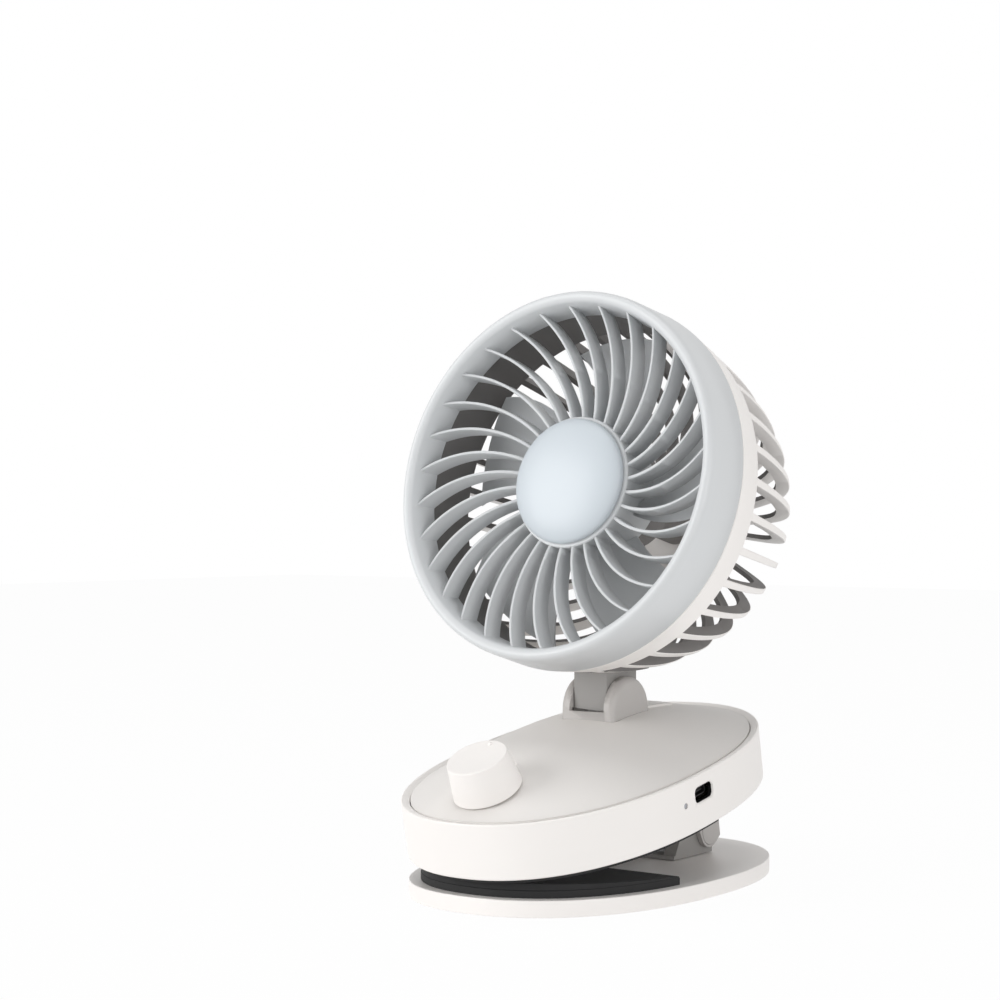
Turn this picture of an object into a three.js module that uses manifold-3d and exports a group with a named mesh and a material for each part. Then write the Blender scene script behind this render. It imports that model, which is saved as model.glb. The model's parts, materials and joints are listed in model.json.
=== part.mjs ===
// A rechargeable clip fan: a sprung clip base with a domed lid and a speed knob, and a round
// fan head that tilts on a sunk barrel hinge. Millimetres, +Z up, the air blows towards -Y.
// The origin is the middle of the lower jaw's underside.
import * as THREE from "three";
import { mergeVertices } from "three/addons/utils/BufferGeometryUtils.js";
import Module from "manifold-3d";

const wasm = await Module();
wasm.setup();

// ---------------------------------------------------------------- driving dimensions
const gap = 0.3; // clearance between seated pieces
const jawExponent = 2.25; // squareness of the oval outlines, 2 is an ellipse
const ovalSides = 40; // facets round the jaws' outlines
const roundSides = 48; // facets round the fan head
const smallSides = 16; // facets round pins and bores
const screwSides = 10;
const hubSides = 32; // facets round the knob, the hub and what is on it

// lower jaw
const plateHalfWidth = 57.7;
const plateHalfLength = 83.8;
const plateThickness = 6.2;
const plateEdge = 0.4; // rounding of the plate's rims
const padInset = 4.4; // rubber to the plate's edge
const padRear = -16; // straight rear edge of the lower rubber
const padRearThickness = 3;
const padRecess = 0.8; // depth of the pockets that hold both rubbers

// clip hinge and its bracket
const pinSetback = 45.3; // hinge pin behind the middle
const pinHeight = 16; // hinge pin above the underside
const pinRadius = 2;
const jawAngle = THREE.MathUtils.degToRad(10.8);
const lugOuter = 22.5; // outer face of the bracket's lugs
const lugThickness = 5.5;
const lugRadius = 6.2;
const earThickness = 1.9;
const earRadius = 6.9;
const bracketThickness = 1.6;
const bracketFront = 25;
const bracketRear = 50;
const capRadius = 5.8; // round caps over the pin's ends
const capSink = 0.9; // how deep they sit in the ears

// closing spring
const springSetback = 32; // its own pin, in front of the hinge
const springHeight = 13.4;
const springPinRadius = 2;
const pinBlind = 1.5; // lug wall left outside the spring pin's ends
const springRadius = 4.1; // wire centre line
const wireRadius = 0.75;
const springTurns = 10;
const springReach = 17; // how far the upper leg runs back
const springPitch = 2.5;

// upper jaw, which is the base housing
const shellHalfWidth = 57.1;
const shellHalfLength = 83;
const shellAhead = 45; // housing's middle in front of the hinge pin
const shellAbove = 20.7; // housing's underside above the hinge pin
const shellHeight = 20.9;
const shellWall = 2.2;
const rimWidth = 3.2; // flat and rounded rim outside the lid
const rimRound = 0.6;
const rimFall = 0.7; // the rim slopes down towards the lid
const lidThickness = 2.2;
const lidRise = 14.5; // dome of the lid
const lidSlopePower = 2.3;
const lidEdgePower = 1.2;
const floorThickness = 2;
const ledge = 1.6;
const upperPadInset = 1.2;
const upperPadProud = 1.3;
const upperPadRear = 14;

// charging port, lamp and what is inside
const portAhead = 5.8; // along the housing from its middle
const portHeight = 13.3;
const portWidth = 11.8;
const portOpening = 5.9;
const lampAhead = 17.6;
const lampHeight = 11.5;
const lampRadius = 1;
const cellRadius = 9.2;
const cellLength = 65;
const cellAhead = 4; // cells' middle in front of the housing's
const boardThickness = 1.6;
const boardInner = 8;
const boardAhead = 25;
const boardAft = 8;
const socketLength = 7.4;
const socketHalf = 4.47; // half width of the socket's shell
const socketRound = 1.6;

// speed knob
const knobAhead = 60.8; // along the lid from its middle
const knobHeight = 14;
const knobFootRadius = 13;
const knobTopRadius = 11.4;
const knobRound = 0.6;
const knobWall = 1.8;
const shaftRadius = 3;
const markRadius = 0.8;
const switchRadius = 8;
const switchHeight = 6.5;

// tilting hinge
const tiltAft = 17; // along the lid from its middle
const tiltAboveLid = 2.1;
const yokeWidth = 24;
const yokeRadius = 12.9;
const yokeDrop = 0.7; // the arch's centre lies below the axle
const yokeRound = 2.5; // rounding of the yoke's outer edges
const slotWidth = 16.2;
const barrelRadius = 10.7; // of the neck, in the yoke's round pocket
const frontWallTop = -1; // yoke's walls against the axle
const backWallTop = -4;
const yokeFloor = 2;
const stepRise = 0.9; // low flat step behind the yoke
const stepLength = 18;
const axleRadius = 2;
const headTilt = THREE.MathUtils.degToRad(12.7);

// fan head, in its own frame: the axle is the origin and y runs back along the fan's axis
const axisHeight = 80.3; // fan axis above the tilt axle
const lipAhead = 56.5; // front lip ahead of the axle
const lipRadius = 69.1;
const seamDepth = 21.3; // where the front ring meets the rear housing
const seamRadius = 72.1;
const ringWall = 2.2;
const ringRoot = 6.5; // where the funnel leaves the outer wall
const funnelDepth = 14;
const funnelRadius = 65.2;
const bandDepth = 34; // where the rear band ends and the cage begins
const bandRadius = seamRadius - 2;
const hubRadius = 25.6;
const hubDepth = 14.6;
const hubLength = 10.5;
const capRise = 6.2;
const capEdgeRadius = 24.4;

// front vanes
const vaneCount = 30;
const vaneSweep = THREE.MathUtils.degToRad(18.2);
const vaneSweepPower = 1.5;
const vaneDepth = 8.6;
const vaneThickness = 1.5;
const vaneTipDepth = 4.4;
const vaneRootDepth = 15.6;
const vaneSteps = 5;
const vanePhase = THREE.MathUtils.degToRad(3.3);

// rear cage
const ribCount = 33;
const ribDepth = 4.7;
const ribWidth = 3;
const ribEndWidth = 1.9;
const ribEndDepth = 9;
const ribSteps = 7;
const ribPhase = THREE.MathUtils.degToRad(3.5);
const cageDepth = 95;
const backRadius = 23;
const backPlate = 3.6;
const cageSide = 1.64; // how slowly the side turns in
const cageShoulder = 0.44; // how square the shoulder is

// impeller and motor
const bladeCount = 5;
const bladeFront = 27.5;
const bladeLength = 16;
const bladeTipRadius = 62.4;
const bladeThickness = 1.6;
const bladeSweep = THREE.MathUtils.degToRad(52);
const impellerHubRadius = 21;
const motorRadius = 15;
const motorLength = 24;
const motorShaftRadius = 1.5;
const motorRun = 1.5; // running room between the motor and the impeller
const podWall = 1.6; // the pod that holds the motor
const stemRadius = 8; // the pod's hollow stem on the rear hub
const stemBore = 3;

// ---------------------------------------------------------------- materials
const finish = (colour, roughness, metalness = 0) =>
  new THREE.MeshStandardMaterial({ color: colour, roughness, metalness });
const whitePlastic = finish(0xf1ece7, 0.45);
const lidPlastic = finish(0xe2ddd7, 0.5);
const vanePlastic = finish(0xd5dadd, 0.45);
const capPlastic = finish(0xeef2f4, 0.2);
const hingePlastic = finish(0xc9c5c0, 0.5);
const padRubber = finish(0x343434, 0.85);
const blackPlastic = finish(0x101010, 0.5);
const steel = finish(0xb8b8ba, 0.3, 1);
const boardGreen = finish(0x1f5a3a, 0.6);
const cellBlue = finish(0x2b5f9e, 0.4);
const lampClear = finish(0xf5f5f0, 0.2);
const bladePlastic = finish(0xcfd4d6, 0.4);

// ---------------------------------------------------------------- solids
function toSolid(geometry) {
  const bare = geometry.clone();
  for (const name of Object.keys(bare.attributes)) if (name !== "position") bare.deleteAttribute(name);
  const merged = mergeVertices(bare, 1e-4);
  const triVerts = new Uint32Array(merged.index.array);
  const vertProperties = new Float32Array(merged.attributes.position.array);
  const solid = new wasm.Manifold(new wasm.Mesh({ numProp: 3, vertProperties, triVerts }));
  if (solid.volume() > 0) return solid;
  for (let i = 0; i < triVerts.length; i += 3) [triVerts[i + 1], triVerts[i + 2]] = [triVerts[i + 2], triVerts[i + 1]];
  return new wasm.Manifold(new wasm.Mesh({ numProp: 3, vertProperties, triVerts }));
}

function toGeometry(solid) {
  const mesh = solid.getMesh();
  const geometry = new THREE.BufferGeometry();
  geometry.setAttribute("position", new THREE.BufferAttribute(mesh.vertProperties, 3));
  geometry.setIndex(new THREE.BufferAttribute(mesh.triVerts, 1));
  const flat = geometry.toNonIndexed();
  flat.computeVertexNormals();
  return flat;
}

const join = (first, ...others) => others.reduce((sum, other) => sum.add(other), first);
const cut = (first, ...others) => others.reduce((rest, other) => rest.subtract(other), first);

function moved(geometry, x = 0, y = 0, z = 0, turnX = 0) {
  return geometry.applyMatrix4(new THREE.Matrix4().makeRotationX(turnX).setPosition(x, y, z));
}

function block(x0, x1, y0, y1, z0, z1) {
  const box = new THREE.BoxGeometry(x1 - x0, y1 - y0, z1 - z0);
  return toSolid(moved(box, (x0 + x1) / 2, (y0 + y1) / 2, (z0 + z1) / 2));
}

// A round bar along X, Y or Z from one end to the other.
function bar(axis, radius, from, to, at, sides = smallSides, endRadius = radius) {
  const rod = new THREE.CylinderGeometry(endRadius, radius, to - from, sides);
  if (axis === "x") rod.rotateZ(-Math.PI / 2);
  if (axis === "z") rod.rotateX(Math.PI / 2);
  const middle = (from + to) / 2;
  const place = { x: [middle, at[0], at[1]], y: [at[0], middle, at[1]], z: [at[0], at[1], middle] }[axis];
  return toSolid(rod.translate(...place));
}

// A solid turned about Y from [depth, radius] points that close on themselves or end on the axis.
function turned(points, sides = roundSides) {
  return toSolid(new THREE.LatheGeometry(points.map(([depth, radius]) => new THREE.Vector2(radius, depth)), sides));
}

// A shape drawn in Y and Z, and pushed along X, with its end edges rounded inside its outline if asked.
function pushed(shape, x0, x1, steps = 6, round = 0) {
  const solid = new THREE.ExtrudeGeometry(shape, {
    depth: x1 - x0 - 2 * round, curveSegments: steps,
    bevelEnabled: round > 0, bevelThickness: round, bevelSize: round, bevelOffset: -round, bevelSegments: 2,
  });
  const axes = new THREE.Matrix4().makeBasis(
    new THREE.Vector3(0, 1, 0), new THREE.Vector3(0, 0, 1), new THREE.Vector3(1, 0, 0));
  return toSolid(solid.applyMatrix4(axes.setPosition(x0 + round, 0, 0)));
}

// Stacks closed rings of equal point counts into a skin; closed joins the last ring to the first.
function skin(rings, closed = false) {
  const count = rings[0].length;
  const positions = [];
  const index = [];
  rings.forEach((ring) => ring.forEach((point) => positions.push(point.x, point.y, point.z)));
  const bands = closed ? rings.length : rings.length - 1;
  for (let i = 0; i < bands; i++) {
    const here = i * count;
    const next = ((i + 1) % rings.length) * count;
    for (let j = 0; j < count; j++) {
      const k = (j + 1) % count;
      index.push(here + j, here + k, next + k, here + j, next + k, next + j);
    }
  }
  if (!closed) {
    const last = (rings.length - 1) * count;
    for (let j = 1; j < count - 1; j++) {
      index.push(0, j + 1, j);
      index.push(last, last + j, last + j + 1);
    }
  }
  const geometry = new THREE.BufferGeometry();
  geometry.setAttribute("position", new THREE.Float32BufferAttribute(positions, 3));
  geometry.setIndex(index);
  return toSolid(geometry);
}

// One oval ring of the jaws' outline.
function oval(halfWidth, halfLength, z, sides = ovalSides) {
  const power = 2 / jawExponent;
  return Array.from({ length: sides }, (_, i) => {
    const turn = (2 * Math.PI * i) / sides;
    const x = halfWidth * Math.sign(Math.cos(turn)) * Math.abs(Math.cos(turn)) ** power;
    const y = halfLength * Math.sign(Math.sin(turn)) * Math.abs(Math.sin(turn)) ** power;
    return new THREE.Vector3(x, y, z);
  });
}

const root = new THREE.Group();
function piece(group, name, solid, material) {
  const mesh = new THREE.Mesh(toGeometry(solid), material);
  mesh.name = name;
  group.add(mesh);
}

// ---------------------------------------------------------------- lower jaw
const plateOval = (inset, z) => oval(plateHalfWidth - inset, plateHalfLength - inset, z);
const padFront = -(plateHalfLength - padInset);
const padPocket = plateThickness - padRecess;

function frontOf(limit, solid) {
  return cut(solid, block(-plateHalfWidth, plateHalfWidth, limit, 2 * plateHalfLength, -100, 100));
}

function lowerJawPlate() {
  const plate = skin([plateOval(plateEdge, 0), plateOval(0, plateEdge), plateOval(0, plateThickness - plateEdge),
    plateOval(plateEdge, plateThickness)]);
  const pocket = frontOf(padRear + gap, skin([plateOval(padInset - gap, padPocket), plateOval(padInset - gap, 20)]));
  return cut(plate, pocket, ...bracketScrewPlaces.map(([x, y]) => bar("z", 1.5, 1.6, 20, [x, y])));
}

// Height of the housing's flat underside, or of the rubber's face below it, over a place on the plate.
const undersideAt = (y, proud = 0) =>
  pinHeight + (shellAbove - proud) / Math.cos(jawAngle) + (y - pinSetback) * Math.tan(jawAngle);
const padFrontTop = undersideAt(padFront, upperPadProud) - gap;

function lowerGripPad() {
  const body = frontOf(padRear, skin([plateOval(padInset, padPocket + gap), plateOval(padInset, 20)]));
  const slope = Math.atan2(plateThickness + padRearThickness - padFrontTop, padRear - padFront);
  const above = moved(new THREE.BoxGeometry(200, 300, 40).translate(0, 0, 20), 0, padFront, padFrontTop, slope);
  return cut(body, toSolid(above));
}

// ---------------------------------------------------------------- hinge bracket, pins and spring
const bracketScrewPlaces = [-8, 8].flatMap((x) => [bracketFront, bracketRear - 5].map((y) => [x, y]));
const bracketFoot = plateThickness + gap;
const springPinHalf = lugOuter - pinBlind;

function hingeBracket() {
  const foot = block(-lugOuter, lugOuter, bracketFront - 3, bracketRear, bracketFoot, bracketFoot + bracketThickness);
  const side = new THREE.Shape();
  side.moveTo(bracketRear, bracketFoot);
  side.lineTo(pinSetback + lugRadius, pinHeight);
  side.absarc(pinSetback, pinHeight, lugRadius, 0, THREE.MathUtils.degToRad(118), false);
  side.absarc(springSetback, springHeight, lugRadius, THREE.MathUtils.degToRad(118), Math.PI, false);
  side.lineTo(bracketFront - 3, bracketFoot);
  const lugs = [lugOuter - lugThickness, -lugOuter].map((x) => pushed(side, x, x + lugThickness));
  const bores = [bar("x", pinRadius + gap / 2, -40, 40, [pinSetback, pinHeight]),
    bar("x", springPinRadius + gap / 2, -springPinHalf - gap, springPinHalf + gap, [springSetback, springHeight])];
  return cut(join(foot, ...lugs), ...bores, ...bracketScrewPlaces.map(([x, y]) => bar("z", 1.7, 0, 20, [x, y])));
}

function bracketScrew(x, y) {
  const top = bracketFoot + bracketThickness + gap;
  return join(bar("z", 1.2, 2, top + 0.1, [x, y], screwSides), bar("z", 2.6, top, top + 1.2, [x, y], screwSides));
}

// One unbroken wire: a straight leg, the coil and a second leg that runs up and back.
function springPath() {
  const half = (springTurns * springPitch) / 2;
  const points = [];
  const start = THREE.MathUtils.degToRad(-90);
  const sweep = (springTurns + 0.25) * 2 * Math.PI;
  const steps = Math.round((springTurns + 0.25) * 8);
  points.push(new THREE.Vector3(-half, springSetback - 11, springHeight - springRadius));
  points.push(new THREE.Vector3(-half, springSetback - 5, springHeight - springRadius));
  for (let i = 0; i <= steps; i++) {
    const turn = start + (sweep * i) / steps;
    const x = -half + (2 * half * i) / steps;
    const y = springSetback + springRadius * Math.cos(turn);
    points.push(new THREE.Vector3(x, y, springHeight + springRadius * Math.sin(turn)));
  }
  const end = points[points.length - 1];
  const far = end.clone().setY(end.y + springReach);
  far.z = undersideAt(far.y) - wireRadius - 2 * gap;
  points.push(end.clone().lerp(far, 0.35).add(new THREE.Vector3(0, 0, 1)));
  points.push(far);
  return points;
}

function clipSpring() {
  const path = springPath();
  const sides = 5;
  const rings = path.map((point, i) => {
    const along = path[Math.min(i + 1, path.length - 1)].clone().sub(path[Math.max(i - 1, 0)]).normalize();
    const side = new THREE.Vector3(1, 0, 0).addScaledVector(along, -along.x).normalize();
    const up = new THREE.Vector3().crossVectors(along, side);
    return Array.from({ length: sides }, (_, j) => {
      const turn = (2 * Math.PI * j) / sides;
      return point.clone().addScaledVector(side, wireRadius * Math.cos(turn)).addScaledVector(up, wireRadius * Math.sin(turn));
    });
  });
  let least = Infinity;
  path.forEach((a, i) => path.forEach((b, j) => {
    if (j > i + 4) least = Math.min(least, a.distanceTo(b) - 2 * wireRadius);
  }));
  console.log("closing spring: least gap between turns " + least.toFixed(2) + " mm");
  return skin(rings);
}

const lowerJaw = new THREE.Group();
root.add(lowerJaw);
piece(lowerJaw, "lower_jaw_plate", lowerJawPlate(), whitePlastic);
piece(lowerJaw, "lower_grip_pad", lowerGripPad(), padRubber);
piece(lowerJaw, "hinge_bracket", hingeBracket(), hingePlastic);
bracketScrewPlaces.forEach(([x, y], i) => piece(lowerJaw, "bracket_screw_" + (i + 1), bracketScrew(x, y), steel));
const pinHalf = lugOuter + gap + earThickness - capSink - 0.1;
piece(lowerJaw, "hinge_pin", bar("x", pinRadius, -pinHalf, pinHalf, [pinSetback, pinHeight]), steel);
piece(lowerJaw, "spring_pin", bar("x", springPinRadius, -springPinHalf, springPinHalf, [springSetback, springHeight]), steel);
piece(lowerJaw, "clip_spring", clipSpring(), steel);

// ---------------------------------------------------------------- upper jaw
// The group turns on the hinge pin; inside it the housing's own origin is its underside's middle.
const upperJaw = new THREE.Group();
upperJaw.position.set(0, pinSetback, pinHeight);
upperJaw.rotation.x = jawAngle;
root.add(upperJaw);
const housing = new THREE.Group();
housing.position.set(0, -shellAhead, shellAbove);
upperJaw.add(housing);

const shellOval = (inset, z) => oval(shellHalfWidth - inset, shellHalfLength - inset, z);
const lidInset = rimWidth + gap;
const lidTop = shellHeight - 0.2;
const lidSeat = lidTop - lidThickness - gap;
const lidDome = (share) => lidRise * (1 - share ** lidSlopePower) ** lidEdgePower;
const lidHeight = (along) => lidTop + lidDome(Math.abs(along) / (shellHalfLength - lidInset));
const lidShares = [1, 0.93, 0.8, 0.6, 0.36, 0.12];

// A slab that follows the lid's dome, between two heights over its rim.
function domeSlab(top, bottom, inset = lidInset) {
  const ring = (share, z) => oval((shellHalfWidth - inset) * share, (shellHalfLength - inset) * share, z);
  const upper = lidShares.map((share) => ring(share, top + lidDome(share)));
  const lower = lidShares.map((share) => ring(share, bottom + lidDome(share)));
  return skin([...upper.reverse(), ...lower]);
}

function baseShell() {
  const floorTop = floorThickness + gap;
  const shelf = shellWall + ledge;
  const profile = [[0.7, 0], [0, 0.9], [0, shellHeight - rimRound], [rimRound, shellHeight],
    [rimWidth, shellHeight - rimFall], [rimWidth, lidSeat], [rimWidth + 2, lidSeat], [rimWidth + 2, lidSeat - 0.8],
    [shellWall, lidSeat - 2.6], [shellWall, floorTop + 2], [shelf, floorTop + 1.2], [shelf, floorTop], [shellWall, floorTop], [shellWall, 0]];
  const shell = skin(profile.map(([inset, z]) => shellOval(inset, z)), true);
  return cut(shell, portHole(0, 30), bar("x", lampRadius + gap / 2, 30, 70, [-lampAhead, lampHeight]));
}

// The port's rounded slot, pushed out through the +X wall.
function portHole(grow, from) {
  const radius = portOpening / 2 + grow;
  const half = portWidth / 2 + grow - radius;
  const slot = new THREE.Shape();
  slot.absarc(-portAhead - half, portHeight, radius, Math.PI / 2, 1.5 * Math.PI, false);
  slot.absarc(-portAhead + half, portHeight, radius, 1.5 * Math.PI, 2.5 * Math.PI, false);
  return pushed(slot, from, shellHalfWidth + 10);
}

const earInner = lugOuter + gap;
const earOuter = earInner + earThickness;
const floorScrewPlaces = [[-43, 24], [43, 24], [-30, 57], [30, 57]];

// The floor plate closes the housing from below and carries the two hinge ears.
function baseFloor() {
  const plate = skin([shellOval(shellWall + gap, 0), shellOval(shellWall + gap, floorThickness)]);
  const pocket = frontOf(upperPadRear + gap, skin([shellOval(upperPadInset + shellWall - gap, -5),
    shellOval(upperPadInset + shellWall - gap, padRecess)]));
  const ear = new THREE.Shape();
  ear.moveTo(shellAhead + earRadius, floorThickness / 2);
  ear.lineTo(shellAhead + earRadius, -shellAbove - earRadius * 0.6);
  ear.absarc(shellAhead, -shellAbove, earRadius, THREE.MathUtils.degToRad(-60), THREE.MathUtils.degToRad(205), true);
  ear.lineTo(shellAhead - 2 * earRadius, floorThickness / 2);
  const ears = [earInner, -earOuter].map((x) => pushed(ear, x, x + earThickness));
  const pinBore = bar("x", pinRadius + gap / 2, -40, 40, [shellAhead, -shellAbove]);
  const capSeats = [[earOuter - capSink, 40], [-40, capSink - earOuter]].map(([from, to]) =>
    bar("x", capRadius + gap / 2, from, to, [shellAhead, -shellAbove], 24));
  const holes = floorScrewPlaces.map(([x, y]) => bar("z", 1.7, -2, 5, [x, y]));
  return cut(join(cut(plate, pocket), ...ears), pinBore, ...capSeats, ...holes);
}

function upperGripPad() {
  const outline = upperPadInset + shellWall;
  return frontOf(upperPadRear, skin([shellOval(outline + 0.5, -upperPadProud), shellOval(outline, -upperPadProud + 0.5),
    shellOval(outline, padRecess - gap)]));
}

function floorScrew(x, y) {
  return join(bar("z", 1.3, -0.5, 8, [x, y], screwSides), bar("z", 2.8, -1.5, -gap, [x, y], screwSides));
}

function topCover() {
  const lid = domeSlab(lidTop, lidTop - lidThickness);
  const markAt = knobFootRadius + 4.2 - knobAhead;
  const mark = bar("z", markRadius, -1, 0.5, [0, 0], 12).translate([0, markAt, lidHeight(markAt)]);
  const posts = floorScrewPlaces.map(([x, y]) => {
    const top = domeSlab(lidTop - 0.5, floorThickness + gap - lidRise).intersect(block(x - 4, x + 4, y - 4, y + 4, 0, 60));
    return bar("z", 3.2, floorThickness + gap, 60, [x, y], screwSides).intersect(top);
  });
  const pilots = floorScrewPlaces.map(([x, y]) => bar("z", 1.6, 0, 9, [x, y], screwSides));
  const stepStart = tiltAft + yokeRadius - 1;
  const step = domeSlab(lidTop + stepRise, lidTop - 1).intersect(
    block(-yokeWidth / 2, yokeWidth / 2, stepStart, stepStart + stepLength, 0, 60));
  return cut(join(lid, mark, step, ...posts), yokeOpening(), knobHole(), ...pilots);
}

// ---------------------------------------------------------------- knob, square to the lid under it
const lidLean = Math.atan2(lidHeight(-knobAhead + 0.5) - lidHeight(-knobAhead - 0.5), 1);
const knobPlace = new THREE.Vector3(0, -knobAhead, lidHeight(-knobAhead));
const knobGroup = new THREE.Group();
knobGroup.position.copy(knobPlace);
knobGroup.rotation.x = lidLean;
housing.add(knobGroup);

const alongKnob = (geometry) =>
  toSolid(geometry.applyMatrix4(new THREE.Matrix4().makeRotationX(lidLean).setPosition(knobPlace)));

function knobHole() {
  return alongKnob(new THREE.CylinderGeometry(shaftRadius, shaftRadius, 12, smallSides).rotateX(Math.PI / 2));
}

function speedKnob() {
  const bore = bar("z", shaftRadius, 0, knobHeight - 3, [0, 0]);
  const outside = [[0, gap], [knobFootRadius, gap], [knobTopRadius, knobHeight + gap - knobRound],
    [knobTopRadius - knobRound, knobHeight + gap], [0, knobHeight + gap]];
  const body = turned(outside.map(([radius, z]) => [z, radius]), hubSides).rotate([90, 0, 0]);
  const hollow = bar("z", knobFootRadius - knobWall, -1, knobHeight - 2, [0, 0], 24, knobTopRadius - knobWall);
  const sleeve = bar("z", shaftRadius + 2, 1, knobHeight - 1, [0, 0]);
  const pointer = bar("z", markRadius, knobHeight - 1, knobHeight + gap + 0.5, [0, knobTopRadius - 2.4], 16);
  return cut(join(cut(body, hollow), sleeve, pointer), bore);
}

piece(knobGroup, "speed_knob", speedKnob(), whitePlastic);
piece(knobGroup, "knob_shaft", bar("z", shaftRadius - gap, -lidThickness - 4, knobHeight - 3 - gap, [0, 0]), steel);

function speedSwitch() {
  const drop = lidThickness + 2 * gap;
  const body = new THREE.CylinderGeometry(switchRadius, switchRadius, switchHeight, 28).rotateX(Math.PI / 2);
  const bore = new THREE.CylinderGeometry(shaftRadius, shaftRadius, switchHeight - 1, smallSides).rotateX(Math.PI / 2);
  return cut(alongKnob(body.translate(0, 0, -drop - switchHeight / 2)),
    alongKnob(bore.translate(0, 0, -drop - switchHeight / 2 + 1)));
}

// ---------------------------------------------------------------- tilting yoke, upright at rest
const tiltPlace = new THREE.Vector3(0, tiltAft, lidHeight(tiltAft) + tiltAboveLid);
const yokeGroup = new THREE.Group();
yokeGroup.position.copy(tiltPlace);
yokeGroup.rotation.x = -jawAngle;
housing.add(yokeGroup);
const pocketRadius = barrelRadius + gap;
const yokeBottom = -pocketRadius - yokeFloor;

function upright(solid) {
  return solid.rotate([THREE.MathUtils.radToDeg(-jawAngle), 0, 0]).translate(tiltPlace.toArray());
}

// The hole in the lid for the yoke, with rounded corners.
function yokeOpening() {
  const halfWidth = yokeWidth / 2 + gap;
  const halfLength = yokeRadius + gap;
  const corner = yokeRound + gap;
  const plan = new THREE.Shape();
  [[1, 1], [-1, 1], [-1, -1], [1, -1]].forEach(([x, y], i) => plan.absarc(
    x * (halfWidth - corner), y * (halfLength - corner), corner, (i * Math.PI) / 2, ((i + 1) * Math.PI) / 2, false));
  const hole = new THREE.ExtrudeGeometry(plan, { depth: 22, bevelEnabled: false, curveSegments: 3 });
  return upright(toSolid(hole.translate(0, 0, -14)));
}

function tiltYoke() {
  const arch = new THREE.Shape();
  arch.moveTo(-yokeRadius, yokeBottom);
  arch.lineTo(yokeRadius, yokeBottom);
  arch.absarc(0, -yokeDrop, yokeRadius, 0, Math.PI, false);
  const body = pushed(arch, -yokeWidth / 2, yokeWidth / 2, 9, yokeRound);
  const slot = slotWidth / 2;
  const overWall = block(-slot, slot, -20, 0, frontWallTop, 20);
  const openBack = block(-slot, slot, 0, 20, backWallTop, 20);
  const pocket = bar("x", pocketRadius, -slot, slot, [0, 0], 28);
  const bore = bar("x", axleRadius + gap / 2, -yokeWidth / 2 + 1, yokeWidth / 2 - 1, [0, 0]);
  const flange = domeSlab(lidTop - lidThickness - gap, lidTop - lidThickness - gap - 2)
    .translate(tiltPlace.clone().negate().toArray())
    .rotate([THREE.MathUtils.radToDeg(jawAngle), 0, 0]);
  const reach = block(-yokeWidth / 2 - 6, yokeWidth / 2 + 6, -yokeRadius - 5, yokeRadius + 5, -30, 30);
  return cut(join(body, flange.intersect(reach)), overWall, openBack, pocket, bore);
}

piece(yokeGroup, "tilt_yoke", tiltYoke(), hingePlastic);
const axleHalf = yokeWidth / 2 - 1 - gap;
piece(yokeGroup, "tilt_axle", bar("x", axleRadius, -axleHalf, axleHalf, [0, 0]), steel);

piece(housing, "base_shell", baseShell(), whitePlastic);
piece(housing, "base_floor", baseFloor(), hingePlastic);
piece(housing, "upper_grip_pad", upperGripPad(), padRubber);
piece(housing, "top_cover", topCover(), lidPlastic);
piece(housing, "speed_switch", speedSwitch(), blackPlastic);
floorScrewPlaces.forEach(([x, y], i) => piece(housing, "floor_screw_" + (i + 1), floorScrew(x, y), steel));
[["pin_cap_right", earOuter - capSink + gap, earOuter + 0.1], ["pin_cap_left", -earOuter - 0.1, capSink - gap - earOuter]]
  .forEach(([name, from, to]) => piece(housing, name, bar("x", capRadius, from, to, [shellAhead, -shellAbove], 24), hingePlastic));

// cells, board, socket and lamp stand on the floor plate
const cellRow = floorThickness + gap + cellRadius;
[-26, -7].forEach((x, i) => {
  const cell = bar("y", cellRadius, -cellLength / 2 - cellAhead, cellLength / 2 - cellAhead, [x, cellRow], 24);
  piece(housing, "battery_cell_" + (i + 1), cell, cellBlue);
});
const boardTop = portHeight + 0.2 - socketRound - 0.3;
const wallAtPort = shellHalfWidth - shellWall - 1.2;
function circuitBoard() {
  const board = block(boardInner, wallAtPort - 3, -boardAhead, boardAft, boardTop - boardThickness, boardTop);
  const posts = [boardInner + 4, wallAtPort - 10].flatMap((x) => [4 - boardAhead, boardAft - 4].map((y) =>
    bar("z", 2.2, floorThickness + gap, boardTop - boardThickness + 0.2, [x, y], screwSides)));
  return join(board, ...posts);
}
piece(housing, "circuit_board", circuitBoard(), boardGreen);
function usbSocket() {
  const outer = new THREE.Shape();
  const half = socketHalf - socketRound;
  outer.absarc(-portAhead - half, portHeight + 0.2, socketRound, Math.PI / 2, 1.5 * Math.PI, false);
  outer.absarc(-portAhead + half, portHeight + 0.2, socketRound, 1.5 * Math.PI, 2.5 * Math.PI, false);
  const shell = pushed(outer, wallAtPort - socketLength, wallAtPort + 0.8);
  const mouth = block(wallAtPort - 6, wallAtPort + 3, -portAhead - 3.9, -portAhead + 3.9, portHeight - 1, portHeight + 1.4);
  const tongue = block(wallAtPort - 6.5, wallAtPort, -portAhead - 3.3, -portAhead + 3.3, portHeight - 0.15, portHeight + 0.55);
  return join(cut(shell, mouth), tongue);
}
piece(housing, "usb_socket", usbSocket(), blackPlastic);
piece(housing, "charge_lamp", bar("x", lampRadius, wallAtPort - 3 + gap, shellHalfWidth - 1.2, [-lampAhead, lampHeight], 16), lampClear);

// ---------------------------------------------------------------- fan head
const head = new THREE.Group();
head.position.copy(tiltPlace);
head.rotation.x = -jawAngle - headTilt;
housing.add(head);
const fan = new THREE.Group();
fan.position.set(0, -lipAhead, axisHeight);
head.add(fan);

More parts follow.
